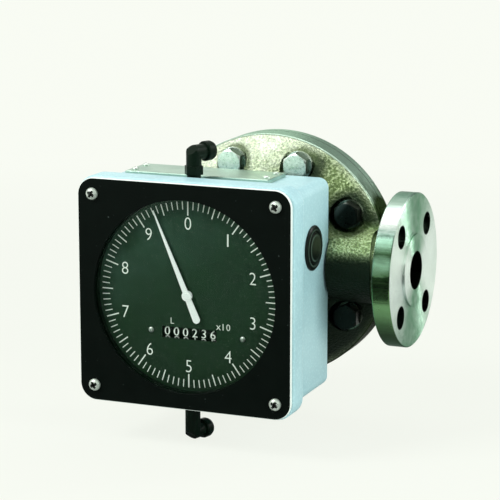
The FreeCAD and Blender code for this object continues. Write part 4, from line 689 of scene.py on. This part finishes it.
def addGlyph(bm, character, centre, height, widen=1.0):
    # a character printed on the dial, upright, facing the front; the one is a plain bar
    if character == "1":
        addBox(bm, centre, (height * dialPrint["oneWidth"], dialPrint["oneDepth"], height))
        return
    mesh = glyphMesh(character, height, numerals["offset"])
    mesh.transform(Matrix.Translation(centre) @ Matrix.Rotation(math.pi / 2, 4, "X") @
                   Matrix.Diagonal((widen, 1.0, 1.0, 1.0)))
    bm.from_mesh(mesh)
    bpy.data.meshes.remove(mesh)


bm = bmesh.new()
for index in range(ticks["count"]):
    angle = 2 * math.pi * index / ticks["count"]
    if index % 10 == 0:
        length, width = ticks["long"], ticks["wide"]
    elif index % 5 == 0:
        length, width = ticks["medium"], ticks["wide"] * ticks["mediumShare"]
    else:
        length, width = ticks["short"], ticks["narrow"]
    radius = dial["tickOuter"] - length / 2
    addBox(bm, dialPoint(radius * math.sin(angle), radius * math.cos(angle)),
           (width, dialPrint["barDepth"], length), angle)
finishMesh(bm, "dialTicks", printWhite, "housing")

bm = bmesh.new()
for number in range(10):
    angle = 2 * math.pi * number / 10
    centre = dialPoint(dial["numeralRadius"] * math.sin(angle), dial["numeralRadius"] * math.cos(angle))
    addGlyph(bm, str(number), centre, numerals["height"], numerals["widen"])
for character, across, up, height in smallPrint:
    addGlyph(bm, character, dialPoint(across, up), height)
finishMesh(bm, "dialNumbers", printWhite, "housing")
print("dial printed")


# Numbers round the counter drums
def digitMesh(digit):
    # one digit, flat, sliced so that it can be bent round its drum
    flat = bmesh.new()
    height = drums["digitHeight"]
    if digit == 1:
        result = bmesh.ops.create_grid(flat, x_segments=1, y_segments=drums["slices"], size=0.5)
        bmesh.ops.transform(flat, matrix=Matrix.Diagonal((drums["oneWidth"], height, 1.0, 1.0)),
                            verts=result["verts"])
        return flat
    mesh = glyphMesh(str(digit), height, drums["bold"])
    flat.from_mesh(mesh)
    bpy.data.meshes.remove(mesh)
    for step in range(1, drums["slices"]):
        bmesh.ops.bisect_plane(flat, geom=flat.verts[:] + flat.edges[:] + flat.faces[:],
                               plane_co=(0, height * (step / drums["slices"] - 0.5), 0), plane_no=(0, 1, 0))
    return flat


def addDrumDigits(index):
    bm = bmesh.new()
    drumX = dial["x"] + drums["centreX"] + ((drums["count"] + 1) / 2 - index) * drums["pitch"]
    radius = drums["radius"] + drums["printGap"]
    for digit in range(10):
        flat = digitMesh(digit)
        turn = (digit - drums["shown"][index - 1]) * 2 * math.pi / 10 + drums["lift"]
        for vert in flat.verts:
            angle = turn + vert.co.y / drums["radius"]
            vert.co = Vector((drumX + vert.co.x * drums["widen"], drums["y"] - radius * math.cos(angle),
                              drums["z"] + radius * math.sin(angle)))
        bent = bpy.data.meshes.new("bent")
        flat.to_mesh(bent)
        flat.free()
        bm.from_mesh(bent)
        bpy.data.meshes.remove(bent)
    for face in bm.faces:
        middle = face.calc_center_median()
        face.normal_update()
        if face.normal.dot(middle - Vector((middle.x, drums["y"], drums["z"]))) < 0:
            face.normal_flip()
    mesh = bpy.data.meshes.new("drumDigits%d" % index)
    bm.to_mesh(mesh)
    bm.free()
    obj = bpy.data.objects.new("drumDigits%d" % index, mesh)
    bpy.context.scene.collection.objects.link(obj)
    mesh.materials.append(printWhite)
    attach(obj, "drum_%d" % index)


for number in range(1, drums["count"] + 1):
    addDrumDigits(number)
print("drums numbered")

# White cap over the pointer's arbor
cap = {"radius": 0.0024, "taper": 0.86, "y": -0.0925, "thickness": 0.00025, "segments": 48}
bm = bmesh.new()
bmesh.ops.create_cone(bm, cap_ends=True, segments=cap["segments"], radius1=cap["radius"],
                      radius2=cap["radius"] * cap["taper"], depth=cap["thickness"])
capMatrix = Matrix.Translation((dial["x"], cap["y"], dial["z"])) @ Matrix.Rotation(math.pi / 2, 4, "X")
bmesh.ops.transform(bm, matrix=capMatrix, verts=bm.verts)
finishMesh(bm, "pointerCap", materials["white_enamel"], "pointer_group")

# Floor, cards, lights, backdrop and camera
studio = {"aim": (0.12, -0.03, 0.0), "backdrop": (0.945, 0.97, 0.90, 1.0), "ambient": (0.90, 0.97, 0.93, 1.0),
          "ambientPower": 0.35, "floorZ": -0.1195, "floorSize": (12.0, 12.0), "floorGlow": 0.88,
          "floorFade": (0.25, 1.1), "floorDark": (0.66, 0.68, 0.64), "floorLight": (0.69, 0.71, 0.67)}
# material, tone, then the cards made of it: name, place, size, standing or lying
cards = (("flagFelt", 0.012, (("frontFlag", (0.95, -1.7, 0.35), (1.7, 1.0), True),
                              ("lowFlag", (0.55, -0.61, -0.118), (1.7, 0.88), False))),
         ("cardOlive", 0.30, (("nearCard", (0.55, -0.01, -0.118), (1.7, 0.32), False),)),
         ("cardGrey", 0.26, (("backCard", (0.45, 1.5, 0.75), (1.4, 1.1), True),)))
# name, place, size, power, colour, seen in reflections
lamps = (("keyLight", (-0.55, -0.75, 0.85), (0.5, 0.5), 14.0, (1.0, 1.0, 0.98), True),
         ("fillLight", (1.25, -0.55, 0.45), (0.5, 0.8), 10.5, (0.93, 1.0, 0.99), False),
         ("rimLight", (1.0, 0.70, 0.55), (0.25, 0.6), 5.0, (0.97, 1.0, 0.98), True),
         ("topLight", (0.05, 0.15, 0.95), (0.7, 0.5), 1.9, (0.98, 1.0, 0.97), True))


def seenRays(tree):
    # rays that show the backdrop itself; the others are lit by the lamps and a weak ambient
    rays = addNode(tree, "ShaderNodeLightPath").outputs
    seen = greater(tree, rays["Is Camera Ray"], rays["Is Transmission Ray"])
    return greater(tree, seen, rays["Is Glossy Ray"])


def floorMaterial():
    # pale floor that fades into the backdrop and keeps a light shadow
    mat, tree = newMaterial("studioFloor")
    point = objectPoint(tree)
    axes = splitAxes(tree, point)
    tone = mixColour(tree, noise(tree, point, 3.0), studio["floorDark"], studio["floorLight"])
    paper = addNode(tree, "ShaderNodeBsdfDiffuse", {"Color": tone})
    glow = addNode(tree, "ShaderNodeEmission", {"Color": studio["backdrop"], "Strength": 1.0})
    away = planeDistance(tree, axes["X"], axes["Y"], 0.0, 0.0)
    glowShare = remap(tree, away, *studio["floorFade"], studio["floorGlow"], 1.0)
    blend = mixShader(tree, times(tree, seenRays(tree), glowShare), paper, glow)
    out = addNode(tree, "ShaderNodeOutputMaterial")
    tree.links.new(blend.outputs[0], out.inputs["Surface"])
    return mat


def cardMaterial(name, tone):
    # matt card that gives the metal its dark reflections
    mat, tree = newMaterial(name)
    colour = mixColour(tree, noise(tree, objectPoint(tree), 60.0), (tone, tone, tone),
                       (tone * 2, tone * 2, tone * 2))
    surface(tree, **{"Base Color": colour, "Roughness": 0.95, "Specular IOR Level": 0.05})
    return mat


def stageCard(name, place, size, material, standing=False, hidden=False):
    bm = bmesh.new()
    bmesh.ops.create_grid(bm, x_segments=1, y_segments=1, size=0.5)
    turn = Matrix.Rotation(math.pi / 2 if standing else 0.0, 4, "X")
    bmesh.ops.transform(bm, matrix=Matrix.Translation(place) @ turn @ Matrix.Diagonal((*size, 1.0, 1.0)),
                        verts=bm.verts)
    mesh = bpy.data.meshes.new(name)
    bm.to_mesh(mesh)
    bm.free()
    card = bpy.data.objects.new(name, mesh)
    mesh.materials.append(material)
    card.visible_camera = not hidden
    card.visible_diffuse = not hidden
    card.visible_shadow = not hidden
    bpy.context.scene.collection.objects.link(card)


def aimAt(obj, place, target):
    obj.location = place
    obj.rotation_euler = (Vector(target) - Vector(place)).to_track_quat("-Z", "Y").to_euler()
    bpy.context.scene.collection.objects.link(obj)


stageCard("studioFloor", (0, 0, studio["floorZ"]), studio["floorSize"], floorMaterial())
for materialName, tone, group in cards:
    material = cardMaterial(materialName, tone)
    for name, place, size, standing in group:
        stageCard(name, place, size, material, standing, True)

for name, place, size, power, colour, glossy in lamps:
    lamp = bpy.data.lights.new(name, "AREA")
    lamp.shape = "RECTANGLE"
    lamp.size, lamp.size_y = size
    lamp.energy = power
    lamp.color = colour
    light = bpy.data.objects.new(name, lamp)
    light.visible_glossy = glossy
    aimAt(light, place, studio["aim"])

world = bpy.data.worlds.new("studioWorld")
bpy.context.scene.world = world
world.use_nodes = True
tree = world.node_tree
tree.nodes.clear()
backdrop = addNode(tree, "ShaderNodeBackground", {"Color": studio["backdrop"], "Strength": 1.0})
ambient = addNode(tree, "ShaderNodeBackground", {"Color": studio["ambient"],
                                                 "Strength": studio["ambientPower"]})
mixer = mixShader(tree, seenRays(tree), ambient, backdrop)
worldOut = addNode(tree, "ShaderNodeOutputWorld")
tree.links.new(mixer.outputs[0], worldOut.inputs["Surface"])

camera = {"place": (0.65245, -1.35290, 0.30710), "target": (0.13965, -0.09784, 0.02640), "lens": 150.34,
          "sensor": 36.0, "clipEnd": 50.0}
lens = bpy.data.cameras.new("photoCamera")
lens.lens = camera["lens"]
lens.sensor_width = camera["sensor"]
lens.clip_end = camera["clipEnd"]
eye = bpy.data.objects.new("photoCamera", lens)
aimAt(eye, camera["place"], camera["target"])
bpy.context.scene.camera = eye
bpy.context.scene.view_settings.view_transform = "Standard"
print("studio set")
